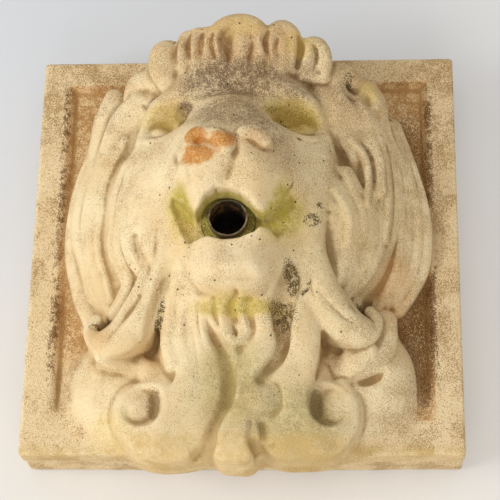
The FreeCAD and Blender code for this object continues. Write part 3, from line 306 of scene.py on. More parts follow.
# Grooves: points of x, z, out and half width. Each is cut wider by a share, with its line
# brought out by a share of its half width, and its two ends by another, so that they run out.
GROOVE_WIDER, GROOVE_OUT, GROOVE_END_OUT, GROOVE_EASE = 1.5, 0.6, 1, 4
GROOVES = {
    "philtrum": [
        (4, 40, 152, 1.6), (0, 32, 151, 2.4), (-3, 24, 149.4, 2.6), (-6, 15, 146.6, 2.4),
        (-7, 9, 144, 1.6)],
    "valley_left_1": [
        (-76, -12, 100, 1.5), (-73, -25, 99, 2.5), (-67, -36, 102, 3), (-72, -47, 101, 4),
        (-78, -62, 98, 4), (-87, -73, 94, 3)],
    "valley_left_2": [(-60, -9, 109, 1.5), (-62, -25, 106, 3), (-66, -35, 103, 3)],
    "crevice_left": [
        (-49, -36, 106, 3), (-52, -48, 101, 4), (-55, -61, 97, 4.5), (-58, -76, 92, 5),
        (-62, -84, 84, 3)],
    "crevice_right": [
        (44, -33, 107, 3), (38, -44, 101, 5), (34, -57, 95, 5.5), (31, -75, 90, 4.5),
        (32, -91, 89, 3), (29, -101, 89, 2.8), (22, -109, 88, 2.6), (17, -116, 87, 2.6)],
    "drop_edge": [(10, -148, 88, 1.5), (11, -160, 85, 2.4), (15, -167, 60, 2)],
    "strand_left_1": [(-43, -53, 99, 3), (-46, -66, 95, 3.2), (-49, -81, 91, 2)],
    "strand_left_2": [
        (-37, -62, 98, 2), (-35, -78, 95, 2.5), (-33, -93, 93, 2.5), (-28, -116, 92, 1.5)],
    "strand_middle": [
        (-23, -76, 96, 1.5), (-18, -85, 93, 2.4), (-12, -94, 91, 2.8), (-7, -104, 90, 3.2),
        (-6, -120, 87, 3.4), (-8, -132, 85, 3), (-12, -141, 85, 2.4), (-17, -151, 82, 2.6),
        (-20, -162, 75, 2.8), (-29, -168, 60, 2)],
    "strand_right": [(47, -38, 104, 2), (51, -53, 101, 2), (53, -61, 99, 1.5)],
    "chin_left": [
        (-39, -22, 119, 1.4), (-42, -34, 113.5, 2.6), (-39, -48, 107.5, 3), (-30, -58, 104, 2.6),
        (-18, -63, 104, 1.6)],
    "chin_right": [
        (31, -24, 121, 1.4), (34, -36, 116.5, 2.6), (32, -48, 109.5, 3), (24, -58, 105, 2.6),
        (14, -63, 105, 1.6)],
    "fold_right": [(83, -113, 71, 2), (90, -112, 69, 2.2), (97, -109, 68, 2), (103, -105, 69, 1.4)],
    "leaf_crease": [(-79, 111, 93, 1), (-73, 109, 95, 1.8), (-67, 106, 98, 1)],
    "temple_slot": [(57, 117, 104, 2), (58, 108, 104, 3), (57, 101, 104, 2)],
    "ear_slot": [(79, 114, 92, 3), (82, 107, 92, 3.5), (85, 100, 92, 2)],
    "crown_1": [(-49, 139, 117, 0.8), (-51, 130, 115.5, 1.8), (-49, 119, 112, 1)],
    "crown_2": [(-38, 146, 122, 0.6), (-40, 136, 121, 1.3), (-39, 125, 117, 0.8)],
    "crown_3": [(-29, 141, 124, 0.8), (-30, 133, 123.5, 1.5), (-31, 124, 119, 0.8)],
    "crown_4": [(-21, 139, 127.5, 0.8), (-22.5, 132, 126, 1.6), (-20, 124, 119.5, 0.8)],
    "crown_5": [
        (-9, 143, 127.5, 1), (-12.5, 137, 125, 2.4), (-10, 129, 121.5, 2.8), (-4, 125, 119, 1.2)],
    "crown_6": [(20, 142, 125, 0.6), (18, 134, 122.5, 1.6), (21, 124, 118, 1.2)],
    "crown_7": [(27, 137, 122, 0.6), (25.5, 131, 121, 1.4), (27, 125, 117, 0.8)],
    "crown_8": [(43, 142, 115, 1), (44, 133, 112.5, 1.8), (41, 121, 108, 1)],
    "crown_9": [(54, 136, 113.5, 0.6), (56, 128, 110.5, 1.3), (53, 118, 106, 0.8)],
    "beard_line_1": [(-1, -60, 106, 1.2), (-5, -66, 99, 1.6), (-2, -75, 97, 1.6), (3, -83, 97, 1)],
    "beard_line_2": [
        (8, -64, 101, 2), (9, -74, 98, 2), (10, -83, 97, 1.8), (6, -91, 96, 1.4), (1, -95, 92, 1)],
    "beard_line_3": [(-18, -62, 102, 1), (-17, -69, 98, 1.2), (-15, -78, 96, 1)],
    "beard_line_4": [(-29, -63, 99, 0.8), (-29, -78, 96, 1.2), (-25, -93, 94, 1)],
    "bridge_top": [
        (-36, 91, 119, 2), (-24, 97, 119, 3), (-7, 100, 119, 3.5), (8, 97, 119, 3),
        (20, 90, 118, 2)],
    "lid_line_right": [(43, 61, 110, 1), (50, 67, 104, 1.2), (54, 75, 101, 1.2)],
    "mouth_end_right": [(40, 24, 126, 0.6), (40, 18, 124.5, 1), (36, 12, 124, 1)],
    "curl_line_left": [
        (-72, -57, 97, 1.2), (-79, -67, 95, 1.8), (-86, -77, 95, 1.6), (-93, -86, 92, 1)],
    "curl_line_right": [
        (56, -54, 101, 1), (65, -65, 100, 1.4), (75, -74, 97, 1.2), (84, -78, 94, 0.8)],
    "pearl_ring": [
        (17, -116, 89, 2), (25, -119, 90, 1.5), (30, -127, 90, 1.6), (30, -136, 88, 1.5),
        (25, -142, 87, 1.8), (19, -143, 87, 2)],
    "hair_hole_left": [(-109, -69, 90, 3), (-99, -71, 91, 5), (-90, -66, 94, 3)],
    "hair_hole_right": [(82, -60, 92, 3), (88, -62, 90, 5), (94, -62, 90, 3)],
    "notch_left": [(-96, 52, 97, 3), (-91, 46, 99, 2)],
    "notch_right": [(80, 48, 101, 3), (84, 40, 99, 2)],
}

# The cells worked on for a form reach this much past it and its ease.
SPARE = 3


def window(low, high, margin=0):
    """The cells between two corners and their coordinates: x, out and z."""
    part = []
    grids = []
    for number, axis in enumerate(axes):
        first, last = np.searchsorted(axis, (low[number] - margin, high[number] + margin))
        part.append(slice(int(first), int(last)))
        shape = [1, 1, 1]
        shape[number] = -1
        grids.append(axis[first:last].reshape(shape))
    return tuple(part), grids


def soft_low(a, b, ease):
    """The lower of two distances, less a quarter of the ease where they are equal, and less
    and less of it until they are an ease apart."""
    near = np.maximum(ease - np.abs(a - b), 0)
    return np.minimum(a, b) - near * near / (4 * ease)


def join(part, gap, ease, carve=False):
    """Join a form to the stone in some cells, or carve it out of them."""
    if carve:
        stone[part] = -soft_low(-stone[part], gap, ease)
    else:
        stone[part] = soft_low(stone[part], gap, ease)


def slab_distance(grids):
    """Distance to the slab: to a rounded box, or to its front where that is further. The front
    is sunk by the panel's depth inside the border, and by an S curve of it above the foot."""
    x, y, z = grids
    beyond = [np.abs(x) - SLAB_HALF + SLAB_WEAR,
              np.abs(y + SLAB_THICK / 2) - SLAB_THICK / 2 + SLAB_WEAR,
              np.abs(z) - SLAB_HALF + SLAB_WEAR]
    outside = np.sqrt(sum(np.maximum(gap, 0) ** 2 for gap in beyond))
    deepest = np.maximum(np.maximum(beyond[0], beyond[1]), beyond[2])
    plate = outside + np.minimum(deepest, 0) - SLAB_WEAR
    inset = np.minimum(PANEL_HALF - np.abs(x), PANEL_HALF - z)
    foot = np.clip((z + PANEL_HALF) / PANEL_FOOT, 0, 1)
    sunk = np.clip(inset, 0, PANEL_DEPTH) * foot * foot * (3 - 2 * foot)
    front = (-y - SLAB_THICK + sunk) * PANEL_STEEPNESS
    return -soft_low(-plate, -front, PANEL_EASE)


def mass_distance(form, grids, hollow=False):
    """Distance to a rounded mass: how far a point's offset, as shares of the half sizes and
    summed to the power of its squareness, is from one. A mass goes on straight back to the
    wall behind its widest outline, and a hollow straight out to the front."""
    mid_x, mid_z, out, wide, high, deep, lean, power = form
    x, y, z = grids
    turn = math.radians(lean)
    across = ((x - mid_x) * math.cos(turn) - (z - mid_z) * math.sin(turn)) / wide
    up = ((x - mid_x) * math.sin(turn) + (z - mid_z) * math.cos(turn)) / high
    away = (-y - out) / deep
    away = np.minimum(away, 0) if hollow else np.maximum(away, 0)
    share = (np.abs(across) ** power + np.abs(up) ** power + np.abs(away) ** power)
    share = share ** (1 / power) + 1e-6
    slope = np.sqrt((across / wide) ** 2 + (up / high) ** 2 + (away / deep) ** 2) + 1e-6
    return share * (share - 1) / slope


def add_mass(form, ease, carve=False):
    """Add a rounded mass to the stone, or carve it out."""
    mid_x, mid_z, out, wide, high, deep = form[:6]
    reach = max(wide, high)
    near, far = (-out + deep, LOW[1]) if carve else (0, -out - deep)
    part, grids = window((mid_x - reach, far, mid_z - reach),
                         (mid_x + reach, near, mid_z + reach), ease + SPARE)
    join(part, mass_distance(form, grids, carve), ease, carve)


def smooth_line(points, count=7):
    """More points on a smooth line through some: a cubic through each four neighbours."""
    knots = np.array(points, np.float32)
    knots = np.concatenate([2 * knots[:1] - knots[1:2], knots, 2 * knots[-1:] - knots[-2:-1]])
    share = np.linspace(0, 1, count, endpoint=False, dtype=np.float32)[:, None]
    spans = []
    for a, b, c, d in zip(knots, knots[1:], knots[2:], knots[3:]):
        spans.append(0.5 * (2 * b + (c - a) * share + (2 * a - 5 * b + 4 * c - d) * share ** 2
                            + (3 * b - a - 3 * c + d) * share ** 3))
    return np.concatenate([*spans, knots[-2:-1]])


def lock_distance(flat, line, grids, hollow=False):
    """Distance to a lock: to its middle line less its half width there, depth shared by flat.
    It goes straight back to the wall behind that line, and a groove straight out."""
    x, y, z = grids
    nearest = None
    for start, end in zip(line, line[1:]):
        run = end - start
        length = run[0] ** 2 + run[1] ** 2 + 1e-6
        along = np.clip(((x - start[0]) * run[0] + (z - start[1]) * run[1]) / length, 0, 1)
        aside = (x - start[0] - along * run[0]) ** 2 + (z - start[1] - along * run[1]) ** 2
        away = (-y - start[2] - along * run[2]) / flat
        away = np.minimum(away, 0) if hollow else np.maximum(away, 0)
        gap = np.sqrt(aside + away * away) - start[3] - along * run[3]
        nearest = gap if nearest is None else np.minimum(nearest, gap)
    return nearest * (0.5 + 0.5 * flat)


def add_lock(flat, points, ease, carve=False):
    """Add a lock to the stone, or carve it out."""
    line = smooth_line(points)
    low = (line[:, :3] - line[:, 3:]).min(0)
    high = (line[:, :3] + line[:, 3:]).max(0)
    near, far = (-low[2], LOW[1]) if carve else (0, -high[2])
    part, grids = window((low[0], far, low[1]), (high[0], near, high[1]), ease + SPARE)
    join(part, lock_distance(flat, line, grids, carve), ease, carve)


def face_distance(grids):
    """Distance to the face: a thin bent plate passed through the skin's known heights, which is
    a plane and, round each height, its share of squared distance times its own logarithm. The
    plate is kept inside the oval."""
    known = np.array([(px, pz, out) for pz, row in FACE.items() for px, out in row], np.float64)
    unit, slack = 100, 1e-4
    flat = known[:, :2] / unit

    def bend(a, b):
        square = ((a[:, None, :] - b[None, :, :]) ** 2).sum(-1)
        return square * np.log(square + 1e-12)

    count = len(known)
    system = np.zeros((count + 3, count + 3))
    system[:count, :count] = bend(flat, flat) + slack * np.eye(count)
    system[:count, count] = 1
    system[count, :count] = 1
    system[:count, count + 1:] = flat
    system[count + 1:, :count] = flat.T
    weights = np.linalg.solve(system, np.append(known[:, 2], [0, 0, 0]))
    x, y, z = grids
    places = np.stack(np.broadcast_arrays(x[:, 0, :], z[:, 0, :]), -1).reshape(-1, 2) / unit
    skin = bend(places, flat) @ weights[:count] + weights[count] + places @ weights[count + 1:]
    skin = skin.reshape(x.shape[0], 1, z.shape[2]).astype(np.float32)
    steep = np.hypot(*np.gradient(skin[:, 0, :], CELL))[:, None, :]
    gap = (-y - skin) / np.sqrt(1 + steep * steep)
    return -soft_low(-gap, -mass_distance(FACE_OVAL, grids), OVAL_EASE)


def outline_distance(corners, grids):
    """Distance to a straight-sided block over a closed outline: to its nearest side, less than
    nought inside it."""
    x, y, z = grids
    x, z = x[:, 0, :], z[:, 0, :]
    nearest = None
    inside = np.zeros(np.broadcast_shapes(x.shape, z.shape), bool)
    for start, end in zip(corners, np.roll(corners, -1, axis=0)):
        run = end - start
        along = ((x - start[0]) * run[0] + (z - start[1]) * run[1]) / (run @ run + 1e-9)
        along = np.clip(along, 0, 1)
        gap = np.hypot(x - start[0] - along * run[0], z - start[1] - along * run[1])
        nearest = gap if nearest is None else np.minimum(nearest, gap)
        crossed = (start[1] > z) != (end[1] > z)
        slant = run[0] / (run[1] if abs(run[1]) > 1e-9 else 1e-9)
        inside ^= crossed & (x < start[0] + slant * (z - start[1]))
    return np.where(inside, -nearest, nearest)[:, None, :].astype(np.float32)


# The slab first, then the masses, the mane's locks, the other hair, and the mane's crests.
everywhere, whole_grids = window(LOW, HIGH)
stone[:] = slab_distance(whole_grids)
for form in MASSES.values():
    add_mass(form, MASS_EASE)
for thick, points in RIBBONS.values():
    crest = np.array(points, np.float32)
    middle = crest - (0, 0, RIBBON_SUNK, 0) - crest[:, 3:] * (0, 0, RIBBON_FLATNESS, 0)
    add_lock(RIBBON_FLATNESS, middle, RIBBON_EASE - 2 * thick)
for flat, points in LOCKS.values():
    add_lock(flat, points, LOCK_EASE)
for thick, points in RIBBONS.values():
    if thick:
        crest = np.array(points, np.float32) * (1, 1, 1, 0)
        add_lock(1, crest + (0, 0, CREST_PROUD - thick, thick), LOCK_EASE)

# Then the face, its open mouth and what is carved out, and last the eyes and the fine ridges.
part, grids = window(*FACE_CORNERS)
join(part, face_distance(grids), FACE_EASE)
part, grids = window(*MOUTH_CORNERS, 6)
opening = outline_distance(np.array(MOUTH, float), grids)
opening = -soft_low(-opening, -(MOUTH_FLOOR + grids[1]), FLOOR_EASE)
join(part, opening, LIP_EASE, carve=True)
for form in SOCKETS.values():
    add_mass(form, SOCKET_EASE, carve=True)
for form in HOLLOWS.values():
    add_mass(form, HOLLOW_EASE, carve=True)
for points in GROOVES.values():
    line = np.array(points, np.float32)
    line[:, 2] += GROOVE_OUT * line[:, 3]
    line[[0, -1], 2] += GROOVE_END_OUT * line[[0, -1], 3]
    ease = min(GROOVE_EASE, 2 * float(line[:, 3].max()))
    add_lock(1, line * (1, 1, 1, GROOVE_WIDER), ease, carve=True)
for form in EYES.values():
    add_mass(form, EYE_EASE)
for flat, points in FINE_LOCKS.values():
    add_lock(flat, points, FINE_EASE)

# Along the slab's lower edge and under it the head hangs clear of the wall: there its back
# leans out from the wall, half a millimetre for each millimetre down.
HANG_TOP, HANG_OUT, HANG_LEAN, HANG_EASE = 157, 34, 0.5, 3
x, y, z = whole_grids
under = np.minimum(-z - HANG_TOP, y + HANG_OUT - HANG_LEAN * (z + SLAB_HALF))
join(everywhere, -under, HANG_EASE, carve=True)
np.maximum(stone, y, out=stone)

# What is bored and cut into the back: the spout's bore, the room for the hose fitting, the
# seats of the two hanger plates with the screws' head room behind them, and the plug holes.
SPOUT = (-7.0, -8.0)
BORE, BORE_PAST_FLOOR = 19.0, 7
SERVICE_ROOM, SERVICE_DEPTH = 34.0, 84.0
PLATE_ASIDE, PLATE_MIDDLE, SCREW_ABOVE = 95.0, 98.0, 26.0
PLATE_SEAT, HEAD_ROOM = (22.6, 64.6, 2.5), (16.0, 30.0, 12.5)
PLUG_HOLE, PLUG_DEPTH = 3.6, 26.6
across = np.hypot(x - SPOUT[0], z - SPOUT[1])
cuts = [np.maximum(across - BORE, -y - MOUTH_FLOOR - BORE_PAST_FLOOR),
        np.maximum(across - SERVICE_ROOM, -y - SERVICE_DEPTH)]
for side in (-PLATE_ASIDE, PLATE_ASIDE):
    for width, height, depth in (PLATE_SEAT, HEAD_ROOM):
        beside = np.maximum(abs(x - side) - width / 2, abs(z - PLATE_MIDDLE) - height / 2)
        cuts.append(np.maximum(beside, -y - depth))
    for level in (-SCREW_ABOVE, SCREW_ABOVE):
        beside = np.hypot(x - side, z - PLATE_MIDDLE - level) - PLUG_HOLE
        cuts.append(np.maximum(beside, -y - PLUG_DEPTH))
for cut in cuts:
    np.maximum(stone, -cut, out=stone)

volume = openvdb.FloatGrid()
volume.copyFromArray(stone)
points, triangles, quads = volume.convertToPolygons(isovalue=0.0, adaptivity=0.03)


def field_at(field, places):
    """The field's value at places between its cells, shared out among the eight around each."""
    places = np.clip(places, 0, np.array(field.shape) - 1.001)
    cell = places.astype(int)
    share = places - cell
    total = 0
    for corner in np.ndindex(2, 2, 2):
        near = np.where(corner, share, 1 - share).prod(1)
        total = total + near * field[tuple((cell + corner).T)]
    return total


def blurred(field, reach):
    """The field averaged over cubes of cells that reach so many cells each way, as differences
    of its running sums."""
    for axis in range(3):
        width = 2 * reach + 1
        padded = np.pad(field, [(reach + 1, reach) if n == axis else (0, 0) for n in range(3)],
                        mode="edge")
        sums = np.cumsum(padded, axis=axis, dtype=np.float64)
        high = np.take(sums, np.arange(width, sums.shape[axis]), axis=axis)
        low = np.take(sums, np.arange(sums.shape[axis] - width), axis=axis)
        field = ((high - low) / width).astype(np.float32)
    return field


# The surface's normals are the slopes of the distance, from most of a cell either side of it.
SLOPE_STEP = 0.7
slopes = np.stack([field_at(stone, points + SLOPE_STEP * step)
                   - field_at(stone, points - SLOPE_STEP * step) for step in np.eye(3)], -1)
slopes /= np.maximum(np.linalg.norm(slopes, axis=1, keepdims=True), 1e-6)

# How far a place stands proud of what is round it, or lies in a hollow: near by in the first
# channel and wider in the second, with flat stone at a half.
limited = np.clip(stone, -12, 12)
relief_marks = np.ones((len(points), 4), np.float32)
for channel, (reach, gain) in enumerate(((2, 1.5), (6, 1.2))):
    relief_marks[:, channel] = 0.5 + field_at(blurred(limited, reach), points) / reach * gain

casting_mesh = bpy.data.meshes.new("stone_relief")
casting_mesh.from_pydata((points * CELL + LOW) / 1000, [], triangles.tolist() + quads.tolist())
casting_mesh.shade_smooth()
marks = casting_mesh.attributes.new("relief_marks", "FLOAT_COLOR", "POINT")
marks.data.foreach_set("color", np.clip(relief_marks, 0, 1).ravel())
casting_mesh.normals_split_custom_set_from_vertices(slopes)


def add_node(tree, kind, inputs=None, **settings):
    """Add a shader node with its settings, and set or link its inputs by name or number."""
    made = tree.nodes.new(kind)
    for key, value in settings.items():
        setattr(made, key, value)
    for key, value in (inputs or {}).items():
        if isinstance(value, bpy.types.NodeSocket):
            tree.links.new(value, made.inputs[key])
        else:
            made.inputs[key].default_value = value
    return made


def blend_colours(tree, share, under, over):
    """Lay one colour over another by a mask."""
    return add_node(tree, "ShaderNodeMix", {0: share, 6: under, 7: over},
                    data_type="RGBA").outputs[2]


def span(tree, value, low, high, start=0.0, end=1.0):
    """Start where a value is at most low, end where it is at least high, eased between."""
    made = add_node(tree, "ShaderNodeMapRange",
                    {"Value": value, "From Min": low, "From Max": high, "To Min": start,
                     "To Max": end}, interpolation_type="SMOOTHSTEP")
    return made.outputs["Result"]


def reckon(tree, way, *values):
    """Arithmetic on values."""
    return add_node(tree, "ShaderNodeMath", dict(enumerate(values)), operation=way).outputs[0]


def noise_over(tree, place, scale, detail, roughness):
    """Noise from nought to one, at so many lumps per metre."""
    return add_node(tree, "ShaderNodeTexNoise", {"Vector": place, "Scale": scale, "Detail": detail,
                                                 "Roughness": roughness}).outputs[0]


def new_effect(name, inputs, outputs):
    """A shader node group with named inputs and outputs, and the nodes that hold them."""
    tree = bpy.data.node_groups.new(name, "ShaderNodeTree")
    for way, sockets in (("INPUT", inputs), ("OUTPUT", outputs)):
        for word, kind in sockets:
            tree.interface.new_socket(word, in_out=way, socket_type="NodeSocket" + kind)
    return (tree, tree.nodes.new("NodeGroupInput").outputs,
            tree.nodes.new("NodeGroupOutput").inputs)


# Sand showing in a cement face: its grain, the slow cloudiness of the face, and its height.
sand, given, wanted = new_effect(
    "sand_grain", [("Place", "Vector"), ("Grains per metre", "Float")],
    [("Grain", "Float"), ("Clouds", "Float"), ("Height", "Float")])
grains = noise_over(sand, given["Place"], given["Grains per metre"], 2.0, 0.75)
clouds = noise_over(sand, given["Place"], 26.0, 5.0, 0.62)
sand.links.new(grains, wanted["Grain"])
sand.links.new(span(sand, clouds, 0.3, 0.7), wanted["Clouds"])
sand.links.new(reckon(sand, "MULTIPLY_ADD", clouds, 1.5, grains), wanted["Height"])

# A ragged stain: one in the middle of a patch, nothing outside it, its edge broken by noise.
stain, given, wanted = new_effect(
    "ragged_stain", [("Offset", "Vector"), ("Rough", "Float"), ("Strength", "Float"),
                     ("Noise", "Float")], [("Mask", "Float")])
far = add_node(stain, "ShaderNodeVectorMath", {0: given["Offset"]}, operation="LENGTH").outputs[1]
edge = reckon(stain, "MULTIPLY_ADD", given["Noise"], given["Rough"], far)
inside_edge = span(stain, edge, 1.15, 0.55)
stain.links.new(reckon(stain, "MULTIPLY", inside_edge, given["Strength"]), wanted["Mask"])

stone_material = bpy.data.materials.new("weathered_stone")
stone_material.use_nodes = True
tree = stone_material.node_tree
surface = tree.nodes["Principled BSDF"]
place = add_node(tree, "ShaderNodeTexCoord").outputs["Object"]
relief_here = add_node(tree, "ShaderNodeAttribute", attribute_name="relief_marks").outputs["Color"]
near_relief, wide_relief = add_node(tree, "ShaderNodeSeparateColor", {0: relief_here}).outputs[:2]
at_x, at_y, at_z = add_node(tree, "ShaderNodeSeparateXYZ", {0: place}).outputs
patchy = noise_over(tree, place, 45, 4.0, 0.6)
speckled = noise_over(tree, place, 240, 3, 0.7)
fine = noise_over(tree, place, 700, 2, 0.7)
patchy_share = reckon(tree, "MULTIPLY", patchy, 0.45)
mottle = reckon(tree, "MULTIPLY_ADD", speckled, 0.55, patchy_share)
unevenness = reckon(tree, "SUBTRACT", mottle, 0.5)


def patch(x, out, z, wide, high, rough, strength, deep=40.0, lean=0.0):
    """The mask of a ragged stain round a place on the stone, in millimetres."""
    offset = add_node(tree, "ShaderNodeMapping", {
        "Vector": place, "Location": (x / 1000, -out / 1000, z / 1000),
        "Rotation": (0, math.radians(lean), 0),
        "Scale": (wide / 1000, deep / 1000, high / 1000)}, vector_type="TEXTURE")
    made = add_node(tree, "ShaderNodeGroup", node_tree=stain)
    tree.links.new(offset.outputs[0], made.inputs["Offset"])
    tree.links.new(unevenness, made.inputs["Noise"])
    made.inputs["Rough"].default_value = rough
    made.inputs["Strength"].default_value = strength
    return made.outputs[0]


def patches(*rows):
    """The strongest of several stains at each place."""
    top = patch(*rows[0])
    for row in rows[1:]:
        top = reckon(tree, "MAXIMUM", top, patch(*row))
    return top


def cover(density):
    """Which grains of sand a stain of some density colours: few of them at nought, most at one."""
    low = reckon(tree, "MULTIPLY_ADD", density, -0.34, 0.67)
    return span(tree, sand_here.outputs["Grain"], low, reckon(tree, "ADD", low, 0.09))


def times(*values):
    """Values multiplied together."""
    product = values[0]
    for value in values[1:]:
        product = reckon(tree, "MULTIPLY", product, value)
    return product


def stained(share, over):
    """The stone's colour so far, with another laid over it by a mask."""
    return blend_colours(tree, share, colour, over)


# Bare stone: cream where the rain has washed it, more buff in slow clouds and in hollows.
CREAM, BUFF, BORDER_BUFF = (0.91, 0.75, 0.465, 1), (0.81, 0.605, 0.325, 1), (0.80, 0.60, 0.345, 1)
HOLLOW_BUFF = (0.44, 0.27, 0.095, 1)
sand_here = add_node(tree, "ShaderNodeGroup", node_tree=sand)
tree.links.new(place, sand_here.inputs["Place"])
sand_here.inputs["Grains per metre"].default_value = 1250.0

# Places in metres: the slab's front side, the sunk panel on it, and the slab as against the head.
on_front = span(tree, at_y, -0.040, -0.044)
on_panel = times(span(tree, reckon(tree, "ABSOLUTE", at_x), 0.1415, 0.1385),
                 span(tree, at_z, 0.1415, 0.1385), span(tree, at_y, -0.0535, -0.0525),
                 span(tree, at_z, -0.138, -0.133), on_front)
frame_face = span(tree, at_y, -0.062, -0.054)

colour = blend_colours(tree, sand_here.outputs["Clouds"], CREAM, BUFF)
colour = stained(times(frame_face, 0.5), BORDER_BUFF)
colour = stained(span(tree, near_relief, 0.5, 0.28, 0.0, 0.4), HOLLOW_BUFF)
colour = stained(span(tree, wide_relief, 0.46, 0.12, 0.0, 0.5), HOLLOW_BUFF)
colour = stained(span(tree, near_relief, 0.56, 0.75, 0.0, 0.5), CREAM)

# Grains of darker sand everywhere, more of them on the slab, in hollows and on the upper parts.
# More of them on the right of the head is painted shade, for the side away from the light.
DARK_SAND_AND_SHADE = (0.36, 0.20, 0.065, 1)
speckle_and_shade = reckon(tree, "MAXIMUM", times(frame_face, 0.46), span(tree, at_z, 0.0, 0.14, 0.3, 0.56))
speckle_and_shade = reckon(tree, "MAXIMUM", speckle_and_shade, span(tree, near_relief, 0.49, 0.25, 0.0, 0.9))
speckle_and_shade = reckon(tree, "ADD", speckle_and_shade, span(tree, patchy, 0.4, 0.65, -0.1, 0.25))
# Painted shade: more dark grains on the right of the head, the side away from the light.
speckle_and_shade = reckon(tree, "ADD", speckle_and_shade, times(span(tree, at_x, 0.0, 0.12, 0.0, 0.2),
                                             reckon(tree, "SUBTRACT", 1.0, frame_face)))
colour = stained(times(cover(speckle_and_shade), span(tree, frame_face, 0.0, 1.0, 0.6, 0.85)), DARK_SAND_AND_SHADE)

# Old dirt down in the crevices, with painted shade making it heavier high up and on the right,
# away from the light.
CREVICE_DIRT_AND_SHADE = (0.17, 0.095, 0.035, 1)
crevice_dirt_and_shade = times(span(tree, near_relief, 0.46, 0.3), span(tree, mottle, 0.38, 0.56, 0.3, 1.0),
                span(tree, reckon(tree, "ADD", at_z, times(at_x, 0.7)), -0.10, 0.14, 0.35, 1.0))
colour = stained(times(crevice_dirt_and_shade, 0.75), CREVICE_DIRT_AND_SHADE)

# Brown staining of the sunk panel, darkest along its sides and low on the right.
PANEL_TAN, PANEL_BROWN = (0.72, 0.44, 0.185, 1), (0.36, 0.17, 0.045, 1)
PANEL_DARK, GUTTER_BROWN = (0.15, 0.062, 0.012, 1), (0.17, 0.08, 0.025, 1)
edge_line = reckon(tree, "MAXIMUM", reckon(tree, "ABSOLUTE", at_x), at_z)
ragged_edge = reckon(tree, "MULTIPLY_ADD", patchy, 0.008, edge_line)
gutter = times(span(tree, ragged_edge, 0.1385, 0.143), span(tree, ragged_edge, 0.149, 0.1455),
               span(tree, at_y, -0.0535, -0.0515), on_front,
               span(tree, at_z, -0.13, -0.09), span(tree, mottle, 0.38, 0.56, 0.35, 1.0),
               span(tree, at_z, 0.130, 0.142, 1.0, 0.45))
brown_places = reckon(tree, "MAXIMUM", span(tree, at_x, 0.09, 0.105), span(tree, at_z, -0.11, -0.07))
brown = times(on_panel, brown_places, span(tree, mottle, 0.40, 0.58, 0.5, 0.95))
colour = stained(times(brown, 0.75), PANEL_TAN)
colour = stained(times(cover(brown), brown, 0.75), PANEL_BROWN)
sides = patches((126, 47, -66, 26, 80, 1.0, 0.9, 14), (124, 47, 50, 26, 80, 1.4, 0.75, 14),
                (-132, 47, 20, 14, 130, 1.8, 0.5, 14))
colour = stained(times(cover(sides), sides, on_panel, 0.9), PANEL_DARK)
colour = stained(times(cover(gutter), gutter, 0.85), GUTTER_BROWN)

# Grey grime where rain and dust settle: forehead, bridge of the nose and the crown; and painted
# shade in the inner corners of the eye sockets.
GRIME_GRAIN_AND_SHADE, GRIME_FILM_AND_SHADE = (0.155, 0.09, 0.045, 1), (0.28, 0.175, 0.095, 1)
grime_and_shade = patches((-5, 116, 108, 54, 24, 1.2, 0.9), (-8, 134, 74, 36, 28, 1.2, 0.75),
                (-28, 114, 98, 24, 10, 1.0, 0.8), (40, 106, 108, 26, 24, 1.2, 0.55),
                (-6, 114, 130, 66, 20, 1.5, 0.6), (18, 136, 56, 24, 26, 1.2, 0.7),
                (24, 138, 38, 24, 20, 1.5, 0.5), (78, 90, 108, 22, 26, 1.5, 0.5),
                (36, 113, 100, 24, 14, 1.2, 0.75),
                # Painted shade: the last two are the inner corners of the eye sockets.
                (-43, 104, 86, 11, 9, 0.8, 1.0), (27, 104, 83, 15, 9, 0.8, 1.0, 40, -30))
grime_and_shade = times(grime_and_shade, span(tree, mottle, 0.36, 0.56, 0.6, 1.0))
colour = stained(times(cover(grime_and_shade), grime_and_shade), GRIME_GRAIN_AND_SHADE)
colour = stained(times(grime_and_shade, 0.35), GRIME_FILM_AND_SHADE)

# Algae: yellow in the eye sockets and under the chin, greener in the wet mouth, and none on
# the muzzle, which stands furthest out and dries first.
ALGAE_YELLOW, ALGAE_OLIVE = (0.74, 0.55, 0.15, 1), (0.36, 0.235, 0.035, 1)
ALGAE_GREEN, WET_GREEN = (0.44, 0.37, 0.05, 1), (0.10, 0.085, 0.012, 1)
yellow = patches((-60, 101, 84, 20, 13, 0.9, 0.6), (37, 102, 82, 28, 15, 0.9, 0.95),
                 (0, 104, -66, 42, 9, 0.9, 0.75), (-33, 118, -2, 22, 26, 0.9, 0.9),
                 (26, 119, -2, 26, 26, 0.9, 0.9), (-4, 130, 4, 26, 14, 0.8, 0.8),
                 (93, 81, 112, 9, 14, 0.9, 0.45), (0, 124, 146, 30, 10, 1.6, 0.4),
                 (43, 115, 137, 14, 12, 1.2, 0.6), (-88, 60, -145, 22, 16, 1.2, 0.4))
off_lips = reckon(tree, "MAXIMUM", span(tree, at_y, -0.1385, -0.131),
                  span(tree, at_z, -0.03, -0.05))
yellow = times(yellow, off_lips, span(tree, mottle, 0.36, 0.58, 0.5, 1.0))
colour = stained(times(yellow, 0.8), ALGAE_YELLOW)
colour = stained(times(cover(times(yellow, 0.8)), yellow, 0.9), ALGAE_OLIVE)
green = patches((-30, 117, 6, 26, 16, 1.1, 0.8), (24, 119, 0, 26, 20, 1.1, 0.75),
                (-5, 128, 8, 20, 10, 1.0, 0.8), (-4, 88, -118, 26, 34, 1.4, 0.45),
                (37, 84, -142, 30, 24, 1.5, 0.4), (0, 103, -66, 34, 6, 1.3, 0.4))
green = times(green, off_lips, span(tree, speckled, 0.4, 0.62, 0.45, 1.0))
colour = stained(green, ALGAE_GREEN)
damp = patch(SPOUT[0], 118, SPOUT[1] + 2, 25, 26, 1.0, 0.55, 16)
colour = stained(times(cover(damp), damp, off_lips, 0.8), WET_GREEN)
